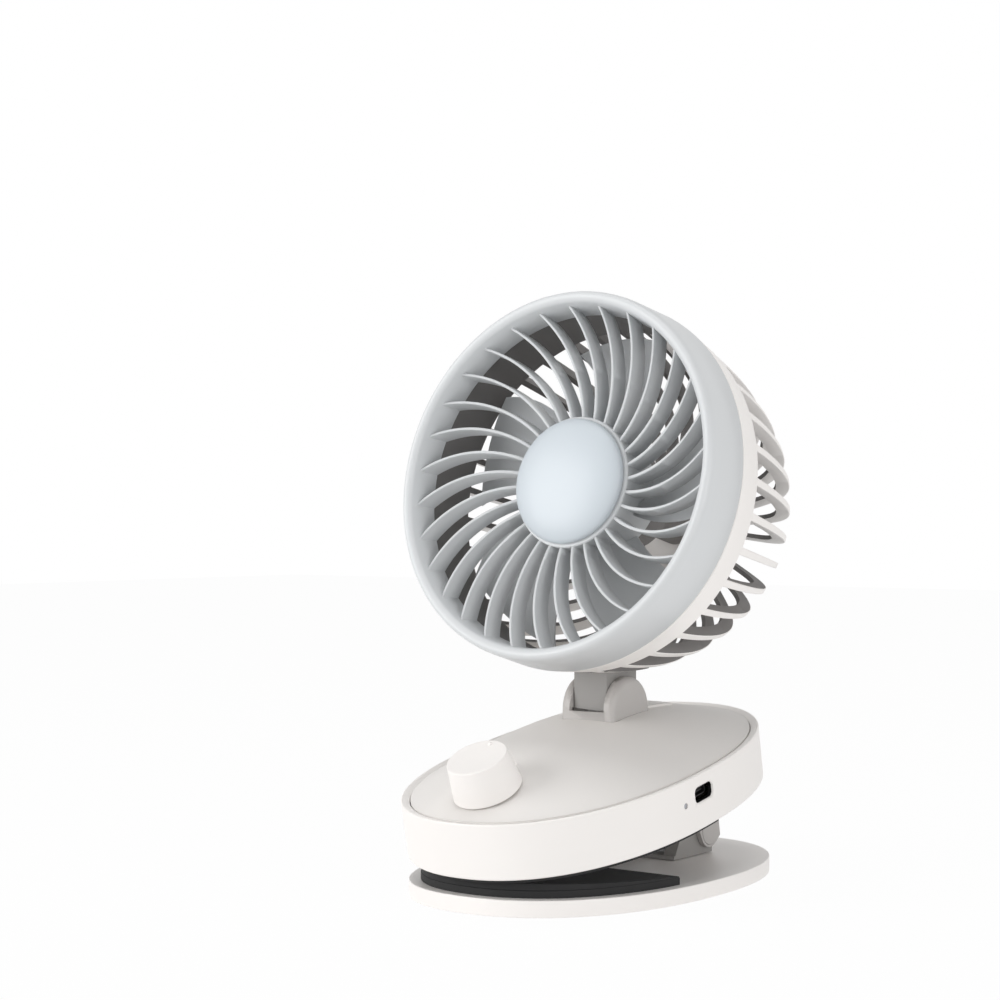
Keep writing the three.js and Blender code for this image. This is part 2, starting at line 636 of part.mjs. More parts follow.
// The cage's outer line, as depth and radius: slow down its side, then quick round its shoulder.
const cageCurve = new THREE.CatmullRomCurve3(Array.from({ length: 13 }, (_, i) => {
  const turn = (Math.PI / 2) * (i / 12);
  return new THREE.Vector3(bandDepth + (cageDepth - bandDepth) * Math.sin(turn) ** cageSide,
    backRadius + (bandRadius - backRadius) * Math.cos(turn) ** cageShoulder, 0);
}));

// Inner radius of the front ring's outer wall, which the rear band slides into.
const ringInside = (depth) =>
  lipRadius - 0.4 + ((seamRadius - ringWall - lipRadius + 0.4) * (depth - ringRoot)) / (seamDepth - ringRoot);

function vane() {
  const inner = hubRadius - 1;
  const outer = funnelRadius + 1.2;
  const rings = [];
  for (let i = 0; i <= vaneSteps; i++) {
    const share = i / vaneSteps;
    const radius = inner + (outer - inner) * share;
    const turn = vaneSweep * share ** vaneSweepPower;
    const front = vaneRootDepth + (vaneTipDepth - vaneRootDepth) * share;
    const back = front + vaneDepth + (funnelDepth - 0.5 - vaneTipDepth - vaneDepth) * share ** 3;
    const half = vaneThickness / 2 / radius;
    const corner = (angle, depth) => new THREE.Vector3(radius * Math.cos(angle), depth, radius * Math.sin(angle));
    rings.push([corner(turn + half * 0.6, front), corner(turn - half * 0.6, front),
      corner(turn - half, back), corner(turn + half, back)]);
  }
  return skin(rings);
}

function frontGrille() {
  const lip = [[0.5, lipRadius - 1.4], [0, lipRadius], [0.5, lipRadius + 1.1], [2.6, lipRadius + 2.1],
    [seamDepth, seamRadius], [seamDepth, seamRadius - ringWall], [ringRoot, lipRadius - 0.4],
    [funnelDepth, funnelRadius + 1.8], [funnelDepth, funnelRadius], [4.5, funnelRadius + 1.1], [1.9, lipRadius - 2.6],
    [0.5, lipRadius - 1.4]];
  const hubBack = hubDepth + hubLength;
  const hub = [[hubDepth, 0], [hubDepth, hubRadius - 0.6], [hubDepth + 0.6, hubRadius], [hubBack, hubRadius],
    [hubBack, hubRadius - 2], [hubDepth + 2, hubRadius - 2], [hubDepth + 2, 0]];
  const vanes = Array.from({ length: vaneCount }, (_, i) =>
    vane().rotate([0, (360 * i) / vaneCount - THREE.MathUtils.radToDeg(vanePhase), 0]));
  return join(turned(lip), turned(hub, hubSides), ...vanes);
}

function hubCap() {
  const rise = [];
  for (let i = 0; i <= 5; i++) {
    const share = Math.cos((Math.PI / 2) * (i / 5));
    rise.push([hubDepth - gap - 0.8 - capRise * Math.sqrt(1 - share ** 2.2), capEdgeRadius * share]);
  }
  return turned([[hubDepth - gap, 0], [hubDepth - gap, capEdgeRadius - 0.2], ...rise], hubSides);
}

// One flat fin of the cage, which grows deeper and thinner towards the rear hub.
function rib() {
  const rings = [];
  for (let i = 0; i <= ribSteps; i++) {
    const share = i / ribSteps;
    const at = cageCurve.getPointAt(share);
    const along = cageCurve.getTangentAt(share);
    const deep = ribDepth + (ribEndDepth - ribDepth) * share ** 3;
    const inside = at.clone().add(new THREE.Vector3(along.y, -along.x, 0).multiplyScalar(deep));
    const width = ribWidth + (ribEndWidth - ribWidth) * share;
    const corner = (point, side) => new THREE.Vector3(point.y, point.x, (side * width) / 2);
    rings.push([corner(at, -1), corner(at, 1), corner(inside, 0.8), corner(inside, -0.8)]);
  }
  return skin(rings);
}

// The cage's outer surface, moved out along its normal, as [depth, radius] points.
function cageProfile(outwards) {
  return Array.from({ length: ribSteps + 1 }, (_, i) => {
    const at = cageCurve.getPointAt(i / ribSteps);
    const along = cageCurve.getTangentAt(i / ribSteps);
    return [at.x - along.y * outwards, at.y + along.x * outwards];
  });
}

function cageCore(outwards) {
  const outside = cageProfile(outwards);
  return turned([[outside[0][0], 0], ...outside, [outside[outside.length - 1][0], 0]]);
}

const neckHalf = slotWidth / 2 - gap;
const neckDepth = barrelRadius - gap;
const neckFoot = lipAhead - (axisHeight - bandRadius) * Math.tan(headTilt);
const impellerBack = bladeFront + bladeLength;
const motorFront = bladeFront + 4 + motorRun;
const motorBack = motorFront + motorLength;

function rearHousing() {
  const start = seamDepth + gap;
  const nose = funnelDepth + 2;
  const bandEnd = bandDepth + 1.4;
  const flange = bandRadius - ribDepth - 0.4;
  const band = [[start, seamRadius - 0.1], [bandEnd, bandRadius], [bandEnd, flange], [bandDepth, flange],
    [nose, ringInside(nose) - gap - 1.4], [nose, ringInside(nose) - gap], [start, ringInside(start) - gap],
    [start, seamRadius - 0.1]];
  const rim = cageDepth - ribEndDepth;
  const back = [[rim, backRadius], [cageDepth, backRadius], [cageDepth + 0.8, backRadius - 1.2], [cageDepth + 0.8, 0],
    [cageDepth - backPlate, 0], [cageDepth - backPlate, backRadius - 3], [rim, backRadius - 3], [rim, backRadius]];
  const ribs = Array.from({ length: ribCount }, (_, i) =>
    rib().rotate([0, (360 * i) / ribCount - THREE.MathUtils.radToDeg(ribPhase), 0]));
  const saddle = cageCore(0).subtract(cageCore(-ribDepth)).intersect(
    block(-neckHalf - 3, neckHalf + 3, neckFoot - barrelRadius - 3, neckFoot + barrelRadius + 3, -90, -40));
  const bore = motorRadius + gap;
  const podBack = motorBack + gap + 2;
  const pod = [[impellerBack + 1, bore], [impellerBack + 1, bore + podWall], [podBack, bore + podWall],
    [podBack + 3, stemRadius], [cageDepth - 1, stemRadius], [cageDepth - 1, stemBore], [motorBack + gap, stemBore],
    [motorBack + gap, bore], [impellerBack + 1, bore]];
  return join(turned(band), turned(back, hubSides), saddle, turned(pod, hubSides), ...ribs);
}

// The neck stands upright while the head leans back.
function tiltNeck() {
  const corner = Math.acos(neckDepth / barrelRadius);
  const side = new THREE.Shape();
  side.moveTo(neckDepth, 30);
  side.lineTo(-neckDepth, 30);
  side.absarc(0, 0, barrelRadius, Math.PI + corner, 2 * Math.PI - corner, false);
  const leadNotch = block(-1.4, 1.4, -20, 0.8 - barrelRadius, frontWallTop, frontWallTop + 0.9);
  const upstand = cut(pushed(side, -neckHalf, neckHalf, 14), leadNotch).rotate([THREE.MathUtils.radToDeg(headTilt), 0, 0]);
  const outside = cageCore(gap).translate([0, -lipAhead, axisHeight]);
  return cut(upstand, outside, bar("x", axleRadius + gap / 2, -20, 20, [0, 0]));
}

function impeller() {
  const depth = bladeFront + bladeLength / 2;
  const hub = [[bladeFront, 0], [bladeFront, impellerHubRadius - 3], [bladeFront + 3, impellerHubRadius],
    [impellerBack, impellerHubRadius], [impellerBack, impellerHubRadius - 2],
    [bladeFront + 4, impellerHubRadius - 2], [bladeFront + 4, 0]];
  const sleeve = bar("y", 5, bladeFront + 3, motorFront - gap, [0, 0]);
  const steps = 4;
  const blade = () => {
    const rings = [];
    for (let i = 0; i <= steps; i++) {
      const share = i / steps;
      const radius = impellerHubRadius - 1 + (bladeTipRadius - impellerHubRadius + 1) * share;
      const middle = bladeSweep * 0.35 * share ** 1.6;
      const halfTurn = bladeSweep * 0.5 * (1 - 0.2 * share);
      const halfDepth = (bladeLength / 2 - 1) * (1 - 0.25 * share);
      const ring = [];
      const chord = [-1, 0, 1];
      const point = (place, side) => {
        const angle = middle + place * halfTurn;
        const bow = 1.6 * (1 - place * place);
        const y = depth + place * halfDepth + bow + (side * bladeThickness) / 2;
        return new THREE.Vector3(radius * Math.cos(angle), y, radius * Math.sin(angle));
      };
      chord.forEach((place) => ring.push(point(place, 1)));
      [...chord].reverse().forEach((place) => ring.push(point(place, -1)));
      rings.push(ring);
    }
    return skin(rings);
  };
  const blades = Array.from({ length: bladeCount }, (_, i) => blade().rotate([0, (360 * i) / bladeCount, 0]));
  return cut(join(turned(hub, hubSides), sleeve, ...blades), bar("y", motorShaftRadius + gap, 0, 90, [0, 0]));
}

function motorCan() {
  const can = turned([[motorFront, 0], [motorFront, motorRadius - 1.5], [motorFront + 1.5, motorRadius],
    [motorBack - 1, motorRadius], [motorBack, motorRadius - 1], [motorBack, 0]], hubSides);
  return cut(can, bar("y", motorShaftRadius + gap, 0, motorBack - 3, [0, 0]));
}

piece(fan, "front_grille", frontGrille(), vanePlastic);
piece(fan, "hub_cap", hubCap(), capPlastic);
piece(fan, "rear_housing", rearHousing(), whitePlastic);
piece(fan, "impeller", impeller(), bladePlastic);
piece(fan, "motor_can", motorCan(), steel);
piece(fan, "motor_shaft", bar("y", motorShaftRadius, bladeFront + 3, motorBack - 4, [0, 0]), steel);
piece(head, "tilt_neck", tiltNeck(), hingePlastic);

export default root;
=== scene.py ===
"""A rechargeable clip fan, dressed around its packed frame. Laid out as an add-on and run as a script."""

import json
import math

import bmesh
import bpy
import numpy as np
from mathutils import Matrix, Vector


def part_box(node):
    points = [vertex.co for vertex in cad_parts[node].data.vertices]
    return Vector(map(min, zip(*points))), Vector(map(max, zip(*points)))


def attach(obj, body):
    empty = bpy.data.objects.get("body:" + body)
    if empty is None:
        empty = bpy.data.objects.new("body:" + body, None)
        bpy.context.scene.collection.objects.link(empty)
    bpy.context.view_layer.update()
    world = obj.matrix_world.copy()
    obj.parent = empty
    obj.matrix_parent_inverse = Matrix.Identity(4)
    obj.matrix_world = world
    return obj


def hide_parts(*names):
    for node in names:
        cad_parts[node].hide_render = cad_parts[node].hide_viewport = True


bl_info = {
    "name": "Clip fan",
    "version": (1, 0, 0),
    "blender": (4, 5, 0),
    "location": "3D View > Sidebar > Clip fan",
    "description": "Builds the visible pieces of a rechargeable clip fan around its frame",
    "category": "Object",
}

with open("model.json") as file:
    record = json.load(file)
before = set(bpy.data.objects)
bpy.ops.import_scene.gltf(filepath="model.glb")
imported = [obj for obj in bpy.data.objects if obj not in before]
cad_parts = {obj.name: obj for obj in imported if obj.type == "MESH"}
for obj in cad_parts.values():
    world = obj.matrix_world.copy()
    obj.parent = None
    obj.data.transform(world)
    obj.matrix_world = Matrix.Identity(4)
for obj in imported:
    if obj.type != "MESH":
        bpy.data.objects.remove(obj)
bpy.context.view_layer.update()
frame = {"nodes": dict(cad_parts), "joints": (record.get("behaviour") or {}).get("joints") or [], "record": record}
MM = 0.001
FAR = 300 * MM  # where a cutting block ends, beyond any piece
PHOTO_WIDTH = 1000  # pixels
SHARP = math.radians(35)  # edges that turn more than this stay sharp
JAW_SIDES, HOUSING_SIDES = 176, 240  # points round the two jaws' outlines
JAW_EXPONENT = 2.25  # their shape: 2 is an ellipse, more is squarer
LID_FULLNESS, LID_SHOULDER = 2.3, 1.2  # exponents of the lid's dome
CAGE_SIDE, CAGE_SHOULDER = 1.64, 0.44  # exponents of the cage's outer line
FLOOR_SHOWN, FLOOR_GLOW = 0.97, 0.54  # the floor's own white for the camera, and for other rays
WORLD_LIGHT = 0.36  # the world's light on the object
WHITE = (1, 1, 1, 1)
TO_X = Matrix.Rotation(math.pi / 2, 4, "Z")  # turns a Y axis to point along X
TO_Z = Matrix.Rotation(math.pi / 2, 4, "X")  # and along Z


# ---------------------------------------------------------------- places that the frame gives
def joint(name):
    return next(row for row in frame["joints"] if row["name"] == name)


def mount(name):
    return next(row for row in frame["record"]["mounts"] if row["name"] == name)


def leaning(origin, back):
    """The matrix of a local frame whose Y runs along back, with X shared with the world."""
    x, y = Vector((1, 0, 0)), Vector(back).normalized()
    return Matrix.Translation(Vector(origin)) @ Matrix((x, y, x.cross(y))).transposed().to_4x4()


PIN = Vector(joint("clip_jaw")["pos_m"])
TILT = Vector(joint("head_tilt")["pos_m"])
UNDERSIDE = Vector(mount("upper_grip")["axis"])
FAN = leaning(joint("blade_spin")["pos_m"], -Vector(joint("blade_spin")["axis"]))
KNOB = Matrix.Translation(Vector(joint("knob_turn")["pos_m"])) @ Vector((0, 0, 1)).rotation_difference(
    Vector(joint("knob_turn")["axis"])).to_matrix().to_4x4()
YOKE = Matrix.Translation(TILT)


# ---------------------------------------------------------------- what a user would change
def length(name, millimetres, description):
    return bpy.props.FloatProperty(
        name=name, description=description, default=millimetres * MM, unit="LENGTH", precision=5)


def angle(name, degrees, description):
    return bpy.props.FloatProperty(
        name=name, description=description, default=math.radians(degrees), subtype="ANGLE")


def count(name, number, description):
    return bpy.props.IntProperty(name=name, description=description, default=number, min=1)


def colour(name, red, green, blue, description):
    return bpy.props.FloatVectorProperty(
        name=name, description=description, default=(red, green, blue), subtype="COLOR", size=3, min=0, max=1)


class ClipSizes(bpy.types.PropertyGroup):
    """The lower jaw, its rubber and the closing spring."""

    half_width: length("Plate half width", 57.7, "Half of the lower jaw's width")
    half_length: length("Plate half length", 83.8, "Half of the lower jaw's length")
    thickness: length("Plate thickness", 6.2, "Height of the lower jaw's plate")
    edge: length("Plate edge", 0.4, "Rounding of the plate's rims")
    pad_inset: length("Pad inset", 4.4, "From the plate's edge to the rubber")
    pad_sunk: length("Pad sink", 0.5, "How far the rubber lies let into the plate")
    pad_step: length("Pad step", 2.6, "From the plate's top to the groove round the rubber")
    pad_groove: length("Pad groove", 0.35, "Depth of the groove round the rubber")
    pad_short: length("Pad rear trim", 4.0, "How far the rubber stops short of its backing")
    wire: length("Spring wire radius", 0.75, "Radius of the closing spring's wire")
    coil: length("Coil radius", 4.1, "Radius of the closing spring's turns, at the wire's middle")
    turns: count("Spring turns", 10, "Full turns of the closing spring")


class BaseSizes(bpy.types.PropertyGroup):
    """The base housing, its lid and what is let into them."""

    half_width: length("Shell half width", 57.1, "Half of the base housing's width")
    half_length: length("Shell half length", 83.0, "Half of the base housing's length")
    height: length("Shell height", 20.9, "Height of the housing's side wall")
    ahead: length("Housing ahead of pin", 45.0, "From the clip's pin to the housing's middle, along its underside")
    above: length("Housing above pin", 20.7, "From the clip's pin up to the housing's underside")
    wall: length("Wall", 2.2, "Thickness of the side wall")
    foot_round: length("Foot rounding", 0.9, "Radius of the wall's lower edge")
    rim: length("Rim width", 3.2, "Rim outside the lid")
    rim_round: length("Rim rounding", 0.6, "Radius of the rim's outer edge")
    rim_fall: length("Rim fall", 0.7, "How far the rim slopes down towards the lid")
    lid_gap: length("Lid gap", 0.3, "Groove between the rim and the lid")
    lid_rise: length("Lid rise", 14.5, "How far the lid domes up over the rim")
    port_ahead: length("Port ahead of middle", 5.8, "Charging port, from the housing's middle")
    port_height: length("Port height", 13.3, "Charging port above the underside")
    port_width: length("Port width", 11.8, "Length of the port's slot")
    port_opening: length("Port opening", 5.9, "Height of the port's slot")
    port_corner: length("Port corner", 2.1, "Radius of the slot's corners")
    port_flare: length("Port flare", 0.25, "How much the slot widens at its mouth")
    lamp_ahead: length("Lamp ahead of middle", 17.6, "Charging lamp, from the housing's middle")
    lamp_height: length("Lamp height", 11.5, "Charging lamp above the underside")
    lamp_radius: length("Lamp radius", 1.15, "Radius of the lamp's hole")
    pad_inset: length("Upper pad inset", 1.9, "From the housing's edge to the rubber under it")
    pad_thickness: length("Upper pad thickness", 1.5, "How far the rubber stands out of the underside")
    pad_rear: length("Upper pad rear", 5.0, "Rear edge of the rubber, behind the housing's middle")
    step_rise: length("Step rise", 0.9, "Height of the flat step behind the fork")
    step_length: length("Step length", 17.6, "Length of the step")
    step_width: length("Step width", 21.0, "Width of the step")
    step_behind: length("Step behind fork", 1.4, "From the fork to the step")
    knob_ahead: length("Knob ahead of middle", 60.8, "Speed knob, from the housing's middle")
    knob_foot: length("Knob foot radius", 13.0, "Radius of the knob at the lid")
    knob_top: length("Knob top radius", 11.4, "Radius of the knob at its top")
    knob_height: length("Knob height", 14.0, "Height of the knob")


class HingeSizes(bpy.types.PropertyGroup):
    """The upright fork and the neck that tilts in it."""

    yoke_width: length("Yoke width", 25.0, "Width of the fork across its ears")
    yoke_radius: length("Yoke radius", 12.9, "Radius of the fork's round top")
    yoke_drop: length("Yoke drop", 0.7, "How far the round top's centre lies below the axle")
    yoke_round: length("Yoke rounding", 2.5, "Rounding of the fork's outer edges")
    slot: length("Slot width", 16.2, "Room between the fork's ears")
    yoke_foot: length("Yoke foot", 13.0, "Foot of the fork below the axle, under the lid")
    pocket: length("Pocket radius", 11.0, "Round room for the neck's foot")
    barrel: length("Barrel radius", 10.4, "Radius of the neck's round foot")
    neck_height: length("Neck height", 15.0, "Top of the neck above the axle")
    front_wall: length("Front wall", -1.0, "Top of the fork's front wall against the axle")
    back_wall: length("Back wall", -4.0, "Top of the fork's back wall against the axle")
    edge: length("Edge rounding", 0.6, "Rounding of the neck's and the slot's edges")


class HeadSizes(bpy.types.PropertyGroup):
    """The front ring, the vanes, the rear cage and the blades."""

    lip_radius: length("Lip radius", 69.1, "Crest of the front ring's lip")
    seam_depth: length("Seam depth", 21.3, "Front ring to rear housing, behind the lip")
    seam_radius: length("Seam radius", 72.1, "Outer radius at the seam")
    funnel_depth: length("Funnel depth", 14.0, "Rear edge of the ring's inner wall")
    funnel_radius: length("Funnel radius", 65.2, "Radius of the ring's inner wall at its rear edge")
    hub_radius: length("Hub radius", 25.6, "Collar that carries the vanes")
    hub_depth: length("Hub depth", 14.6, "Front of the collar behind the lip")
    cap_radius: length("Cap radius", 24.4, "Radius of the polished cap")
    cap_rise: length("Cap rise", 6.2, "How far the cap domes forward")
    vanes: count("Vanes", 30, "Swept vanes of the front grille")
    vane_sweep: angle("Vane sweep", 18.2, "Turn of a vane from its root to its tip")
    vane_phase: angle("Vane phase", 3.3, "Turn of the whole grille")
    vane_depth: length("Vane depth", 8.6, "Depth of a vane along the axis")
    vane_root: length("Vane root", 15.6, "Front of a vane behind the lip, at the collar")
    vane_tip: length("Vane tip", 4.4, "Front of a vane behind the lip, at the ring")
    vane_thickness: length("Vane thickness", 1.3, "Wall of a vane")
    ribs: count("Ribs", 33, "Fins of the rear cage")
    rib_phase: angle("Rib phase", 3.5, "Turn of the whole cage")
    rib_width: length("Rib width", 3.0, "Width of a fin at the band")
    rib_end: length("Rib end width", 1.9, "Width of a fin at the rear hub")
    rib_depth: length("Rib depth", 4.7, "Depth of a fin at the band")
    rib_end_depth: length("Rib end depth", 9.0, "Depth of a fin at the rear hub")
    band_depth: length("Band depth", 34.0, "Rear end of the rear band behind the lip")
    band_radius: length("Band radius", 70.1, "Outer radius of the rear band's end")
    cage_depth: length("Cage depth", 95.0, "Rear end of the cage behind the lip")
    back_radius: length("Back radius", 23.0, "Radius of the rear hub")
    blades: count("Blades", 5, "Blades of the impeller")
    blade_radius: length("Blade radius", 62.4, "Tip radius of the blades")
    blade_front: length("Blade front", 27.5, "Front of the blades' hub behind the lip")
    blade_depth: length("Blade depth", 16.0, "Depth of the blades along the axis")
    blade_hub: length("Blade hub radius", 21.0, "Radius of the hub that carries the blades")
    blade_turn: angle("Blade turn", 52.0, "Turn of a blade from edge to edge at its root")
    pod_front: length("Pod front", 44.5, "Front of the motor's cup behind the lip")
    pod_back: length("Pod back", 59.3, "Back of the motor's cup behind the lip")
    pod_radius: length("Pod radius", 16.9, "Radius of the motor's cup")
    pod_wall: length("Pod wall", 1.6, "Wall of the motor's cup")
    stem_radius: length("Stem radius", 8.0, "Radius of the cup's stem")
    stem_bore: length("Stem bore", 3.0, "Radius of the bore for the motor's lead")


class Finishes(bpy.types.PropertyGroup):
    """Colours of the mouldings, as linear values."""

    shell: colour("Shell white", 0.87, 0.84, 0.815, "Side walls, lower jaw, knob and rear band")
    lid: colour("Lid white", 0.78, 0.755, 0.73, "Domed lid")
    ring: colour("Ring white", 0.63, 0.645, 0.655, "Front ring and vanes")
    cap: colour("Cap white", 0.58, 0.63, 0.67, "Polished hub cap")
    # painted shade: a dark grey that stands for the shade inside the rear cage and the motor's cup, which are white
    # plastic
    inside: colour("Painted inner shade", 0.20, 0.19, 0.185, "Inner faces of the rear cage")
    fork: colour("Fork grey", 0.46, 0.44, 0.425, "Fork, hinge ears and pin caps")
    # painted shade: the fork's plastic made darker for the shade that falls on the neck under the head and on the
    # clip's bracket
    hinge: colour("Fork grey in painted shade", 0.27, 0.26, 0.25, "Neck and the clip's bracket")
    rubber: colour("Rubber grey", 0.007, 0.007, 0.0075, "Grip pads")
    steel: colour("Steel", 0.56, 0.56, 0.57, "Pins, wire and screws")
    port: colour("Port black", 0.006, 0.006, 0.007, "Charging port and switch")
    # partly painted shade: the lamp's own grey, darkened to stand in for the shadow in its hole
    lamp: colour("Lamp grey with painted shade", 0.36, 0.37, 0.40, "Charging lamp")
    board: colour("Board green", 0.012, 0.09, 0.045, "Circuit board")
    cell: colour("Cell blue", 0.02, 0.11, 0.33, "Battery cells")


GROUPS = {"fan_clip": ClipSizes, "fan_base": BaseSizes, "fan_hinge": HingeSizes,
          "fan_head": HeadSizes, "fan_finish": Finishes}


def settings(name):
    return getattr(bpy.context.scene, name)


# ---------------------------------------------------------------- node trees
class Value:
    """A number that flows through a node tree. Python's operators and their reflected forms add its Math nodes."""

    def __init__(self, nodes, socket):
        self.nodes = nodes
        self.socket = socket

    def _math(self, operation, first, second):
        return self.nodes.add("ShaderNodeMath", {"operation": operation}, {0: first, 1: second})

    def __add__(self, other):
        return self._math("ADD", self, other)

    __radd__ = __add__

    def __sub__(self, other):
        return self._math("SUBTRACT", self, other)

    def __rsub__(self, other):
        return self._math("SUBTRACT", other, self)

    def __mul__(self, other):
        return self._math("MULTIPLY", self, other)

    __rmul__ = __mul__

    def __truediv__(self, other):
        return self._math("DIVIDE", self, other)

    def __rtruediv__(self, other):
        return self._math("DIVIDE", other, self)

    def larger(self, other):
        return self._math("MAXIMUM", self, other)


class Nodes:
    """A node tree with one method that adds any node."""

    def __init__(self, tree):
        self.tree = tree

    def add(self, kind, choices=None, inputs=None, output=0):
        node = self.tree.nodes.new(kind)
        for key, value in (choices or {}).items():
            setattr(node, key, value)
        for key, value in (inputs or {}).items():
            self.feed(node.inputs[key], value)
        return Value(self, node.outputs[output]) if node.outputs else None

    def feed(self, socket, value):
        if isinstance(value, Value):
            self.tree.links.new(value.socket, socket)
        else:
            socket.default_value = value

    def shown_ray(self):
        """1 for the camera's rays and for those that a sharp reflection or a clear piece passes on, 0 for others."""
        camera, glossy, clear = (self.add("ShaderNodeLightPath", output="Is %s Ray" % kind)
                                 for kind in ("Camera", "Glossy", "Transmission"))
        return camera.larger(glossy).larger(clear)


class Surface(Nodes):
    """A material's tree, which ends in its Principled shader."""

    def __init__(self, name):
        self.material = bpy.data.materials.new(name)
        self.material.use_nodes = True
        super().__init__(self.material.node_tree)
        self.shader = self.tree.nodes["Principled BSDF"]

    def noise(self, scale, detail, stretch=(1, 1, 1)):
        place = self.add("ShaderNodeTexCoord", output="Object")
        spot = self.add("ShaderNodeMapping", inputs={"Vector": place, "Scale": stretch})
        return self.add("ShaderNodeTexNoise", inputs={"Vector": spot, "Scale": scale, "Detail": detail})

    def mix(self, factor, first, second):
        return self.add("ShaderNodeMix", {"data_type": "RGBA"}, {0: factor, 6: first, 7: second}, output=2)

    def bump(self, height, strength, distance):
        return self.add("ShaderNodeBump", inputs={
            "Height": height, "Strength": strength, "Distance": distance}, output="Normal")

    def finish(self, **sockets):
        for name, value in sockets.items():
            self.feed(self.shader.inputs[name.replace("_", " ")], value)
        return self.material


def rgba(base, factor=1.0):
    return tuple(min(1.0, channel * factor) for channel in base) + (1.0,)


# ---------------------------------------------------------------- finishes
def moulded(base, name, roughness, grain, tint, coat):
    """Moulded plastic: a fine spark-eroded grain, slow shade changes and faint flow marks."""
    nodes = Surface(name)
    shade = nodes.noise(26.0, 3.0)
    grains = nodes.noise(2600.0, 2.0)
    flow = nodes.noise(90.0, 2.0, stretch=(1, 0.25, 1))
    tone = nodes.mix(shade * 0.7 + flow * 0.3, rgba(base, 1 - tint), rgba(base, 1 + tint))
    rough = roughness + (shade - 0.5) * 0.10 + (grains - 0.5) * 0.08
    return nodes.finish(Base_Color=tone, Roughness=rough, Normal=nodes.bump(grains, grain, 0.12 * MM),
                        Coat_Weight=coat, Coat_Roughness=0.12)


def grip_rubber(base):
    """Matt rubber with a speckled surface and cloudy shade."""
    nodes = Surface("grip rubber")
    speckle = nodes.noise(1500.0, 3.0)
    cloud = nodes.noise(60.0, 3.0)
    tone = nodes.mix(cloud, rgba(base, 0.8), rgba(base, 1.3))
    rough = 0.75 + (cloud - 0.5) * 0.2
    return nodes.finish(Base_Color=tone, Roughness=rough, Normal=nodes.bump(speckle, 0.25, 0.2 * MM))


def drawn_steel(base):
    """Drawn wire and turned pins, with fine marks along X."""
    nodes = Surface("drawn steel")
    drawn = nodes.noise(900.0, 3.0, stretch=(0.08, 1, 1))
    cloud = nodes.noise(120.0, 2.0)
    tone = nodes.mix(cloud, rgba(base, 0.8), rgba(base, 1.15))
    rough = 0.26 + drawn * 0.16
    return nodes.finish(Base_Color=tone, Roughness=rough, Metallic=1.0, Normal=nodes.bump(drawn, 0.12, 0.1 * MM))


PLASTICS = {  # colour: material's name, roughness, depth of the grain, shade change, coat
    "shell": ("shell white plastic", 0.42, 0.05, 0.02, 0.0),
    "lid": ("matt lid plastic", 0.55, 0.10, 0.02, 0.0),
    "ring": ("ring plastic", 0.38, 0.05, 0.02, 0.0),
    "cap": ("polished cap plastic", 0.40, 0.01, 0.02, 0.08),
    # painted shade for the cage's inner faces, not a plastic of its own
    "inside": ("shaded inner plastic", 0.60, 0.05, 0.05, 0.0),
    "fork": ("fork plastic", 0.45, 0.05, 0.02, 0.0),
    "hinge": ("hinge plastic", 0.45, 0.05, 0.02, 0.0),
    # the fork's plastic darkened as painted shade, for the neck and the bracket
    "port": ("port black plastic", 0.45, 0.05, 0.30, 0.0),
    # the lamp's own grey, darkened as painted shade for its hole
    "lamp": ("lamp plastic", 0.20, 0.01, 0.02, 0.6),
    "board": ("solder mask", 0.35, 0.05, 0.20, 0.0),
    "cell": ("shrink wrap", 0.30, 0.05, 0.10, 0.0),
}
MATERIALS = {}


def material(look):
    """One shared material for each colour of the finishes, whichever operator asks for it first."""
    if look not in MATERIALS:
        base = getattr(settings("fan_finish"), look)
        if look in PLASTICS:
            MATERIALS[look] = moulded(base, *PLASTICS[look])
        else:
            MATERIALS[look] = {"rubber": grip_rubber, "steel": drawn_steel}[look](base)
    return MATERIALS[look]


# ---------------------------------------------------------------- mesh helpers
def oval(half_width, half_length, z, sides=JAW_SIDES):
    """One ring of the jaws' squared oval outline."""
    turns = np.linspace(0, 2 * math.pi, sides, endpoint=False)
    cos, sin = np.cos(turns), np.sin(turns)
    x = half_width * np.sign(cos) * np.abs(cos) ** (2 / JAW_EXPONENT)
    y = half_length * np.sign(sin) * np.abs(sin) ** (2 / JAW_EXPONENT)
    return np.stack([x, y, np.full(sides, z)], 1)


def ovals(sizes, profile, sides=JAW_SIDES):
    """A jaw's outline at each (inset, height) point of a profile."""
    return [oval(sizes.half_width - inset, sizes.half_length - inset, z, sides) for inset, z in profile]


def skin(rings, closed=False):
    """Joins rings of equal point counts. A closed skin joins the last ring to the first, an open one has two ends."""
    points = len(rings[0])
    faces = []
    for i in range(len(rings) if closed else len(rings) - 1):
        here, there = i * points, (i + 1) % len(rings) * points
        for j in range(points):
            k = (j + 1) % points
            faces.append((here + j, here + k, there + k, there + j))
    if not closed:
        last = (len(rings) - 1) * points
        faces.append(tuple(reversed(range(points))))
        faces.append(tuple(range(last, last + points)))
    return np.concatenate(rings), faces


def turned(profile, sides):
    """A solid turned about Y from (depth, radius) points. It is a ring where no point lies on the axis."""
    turns = np.linspace(0, 2 * math.pi, sides, endpoint=False)
    rings = [np.stack([radius * np.cos(turns), np.full(sides, depth), radius * np.sin(turns)], 1)
             for depth, radius in profile if radius > 0]
    return skin(rings, closed=len(rings) == len(profile))


def rod(radius, start, end, sides):
    """A round bar along Y."""
    return turned([(start, 0), (start, radius), (end, radius), (end, 0)], sides)


def arc(centre, radius, start, end, steps=6):
    """Points on an arc in a profile's plane, angles in degrees."""
    turns = np.radians(np.linspace(start, end, steps))
    return [(centre[0] + radius * math.cos(t), centre[1] + radius * math.sin(t)) for t in turns]


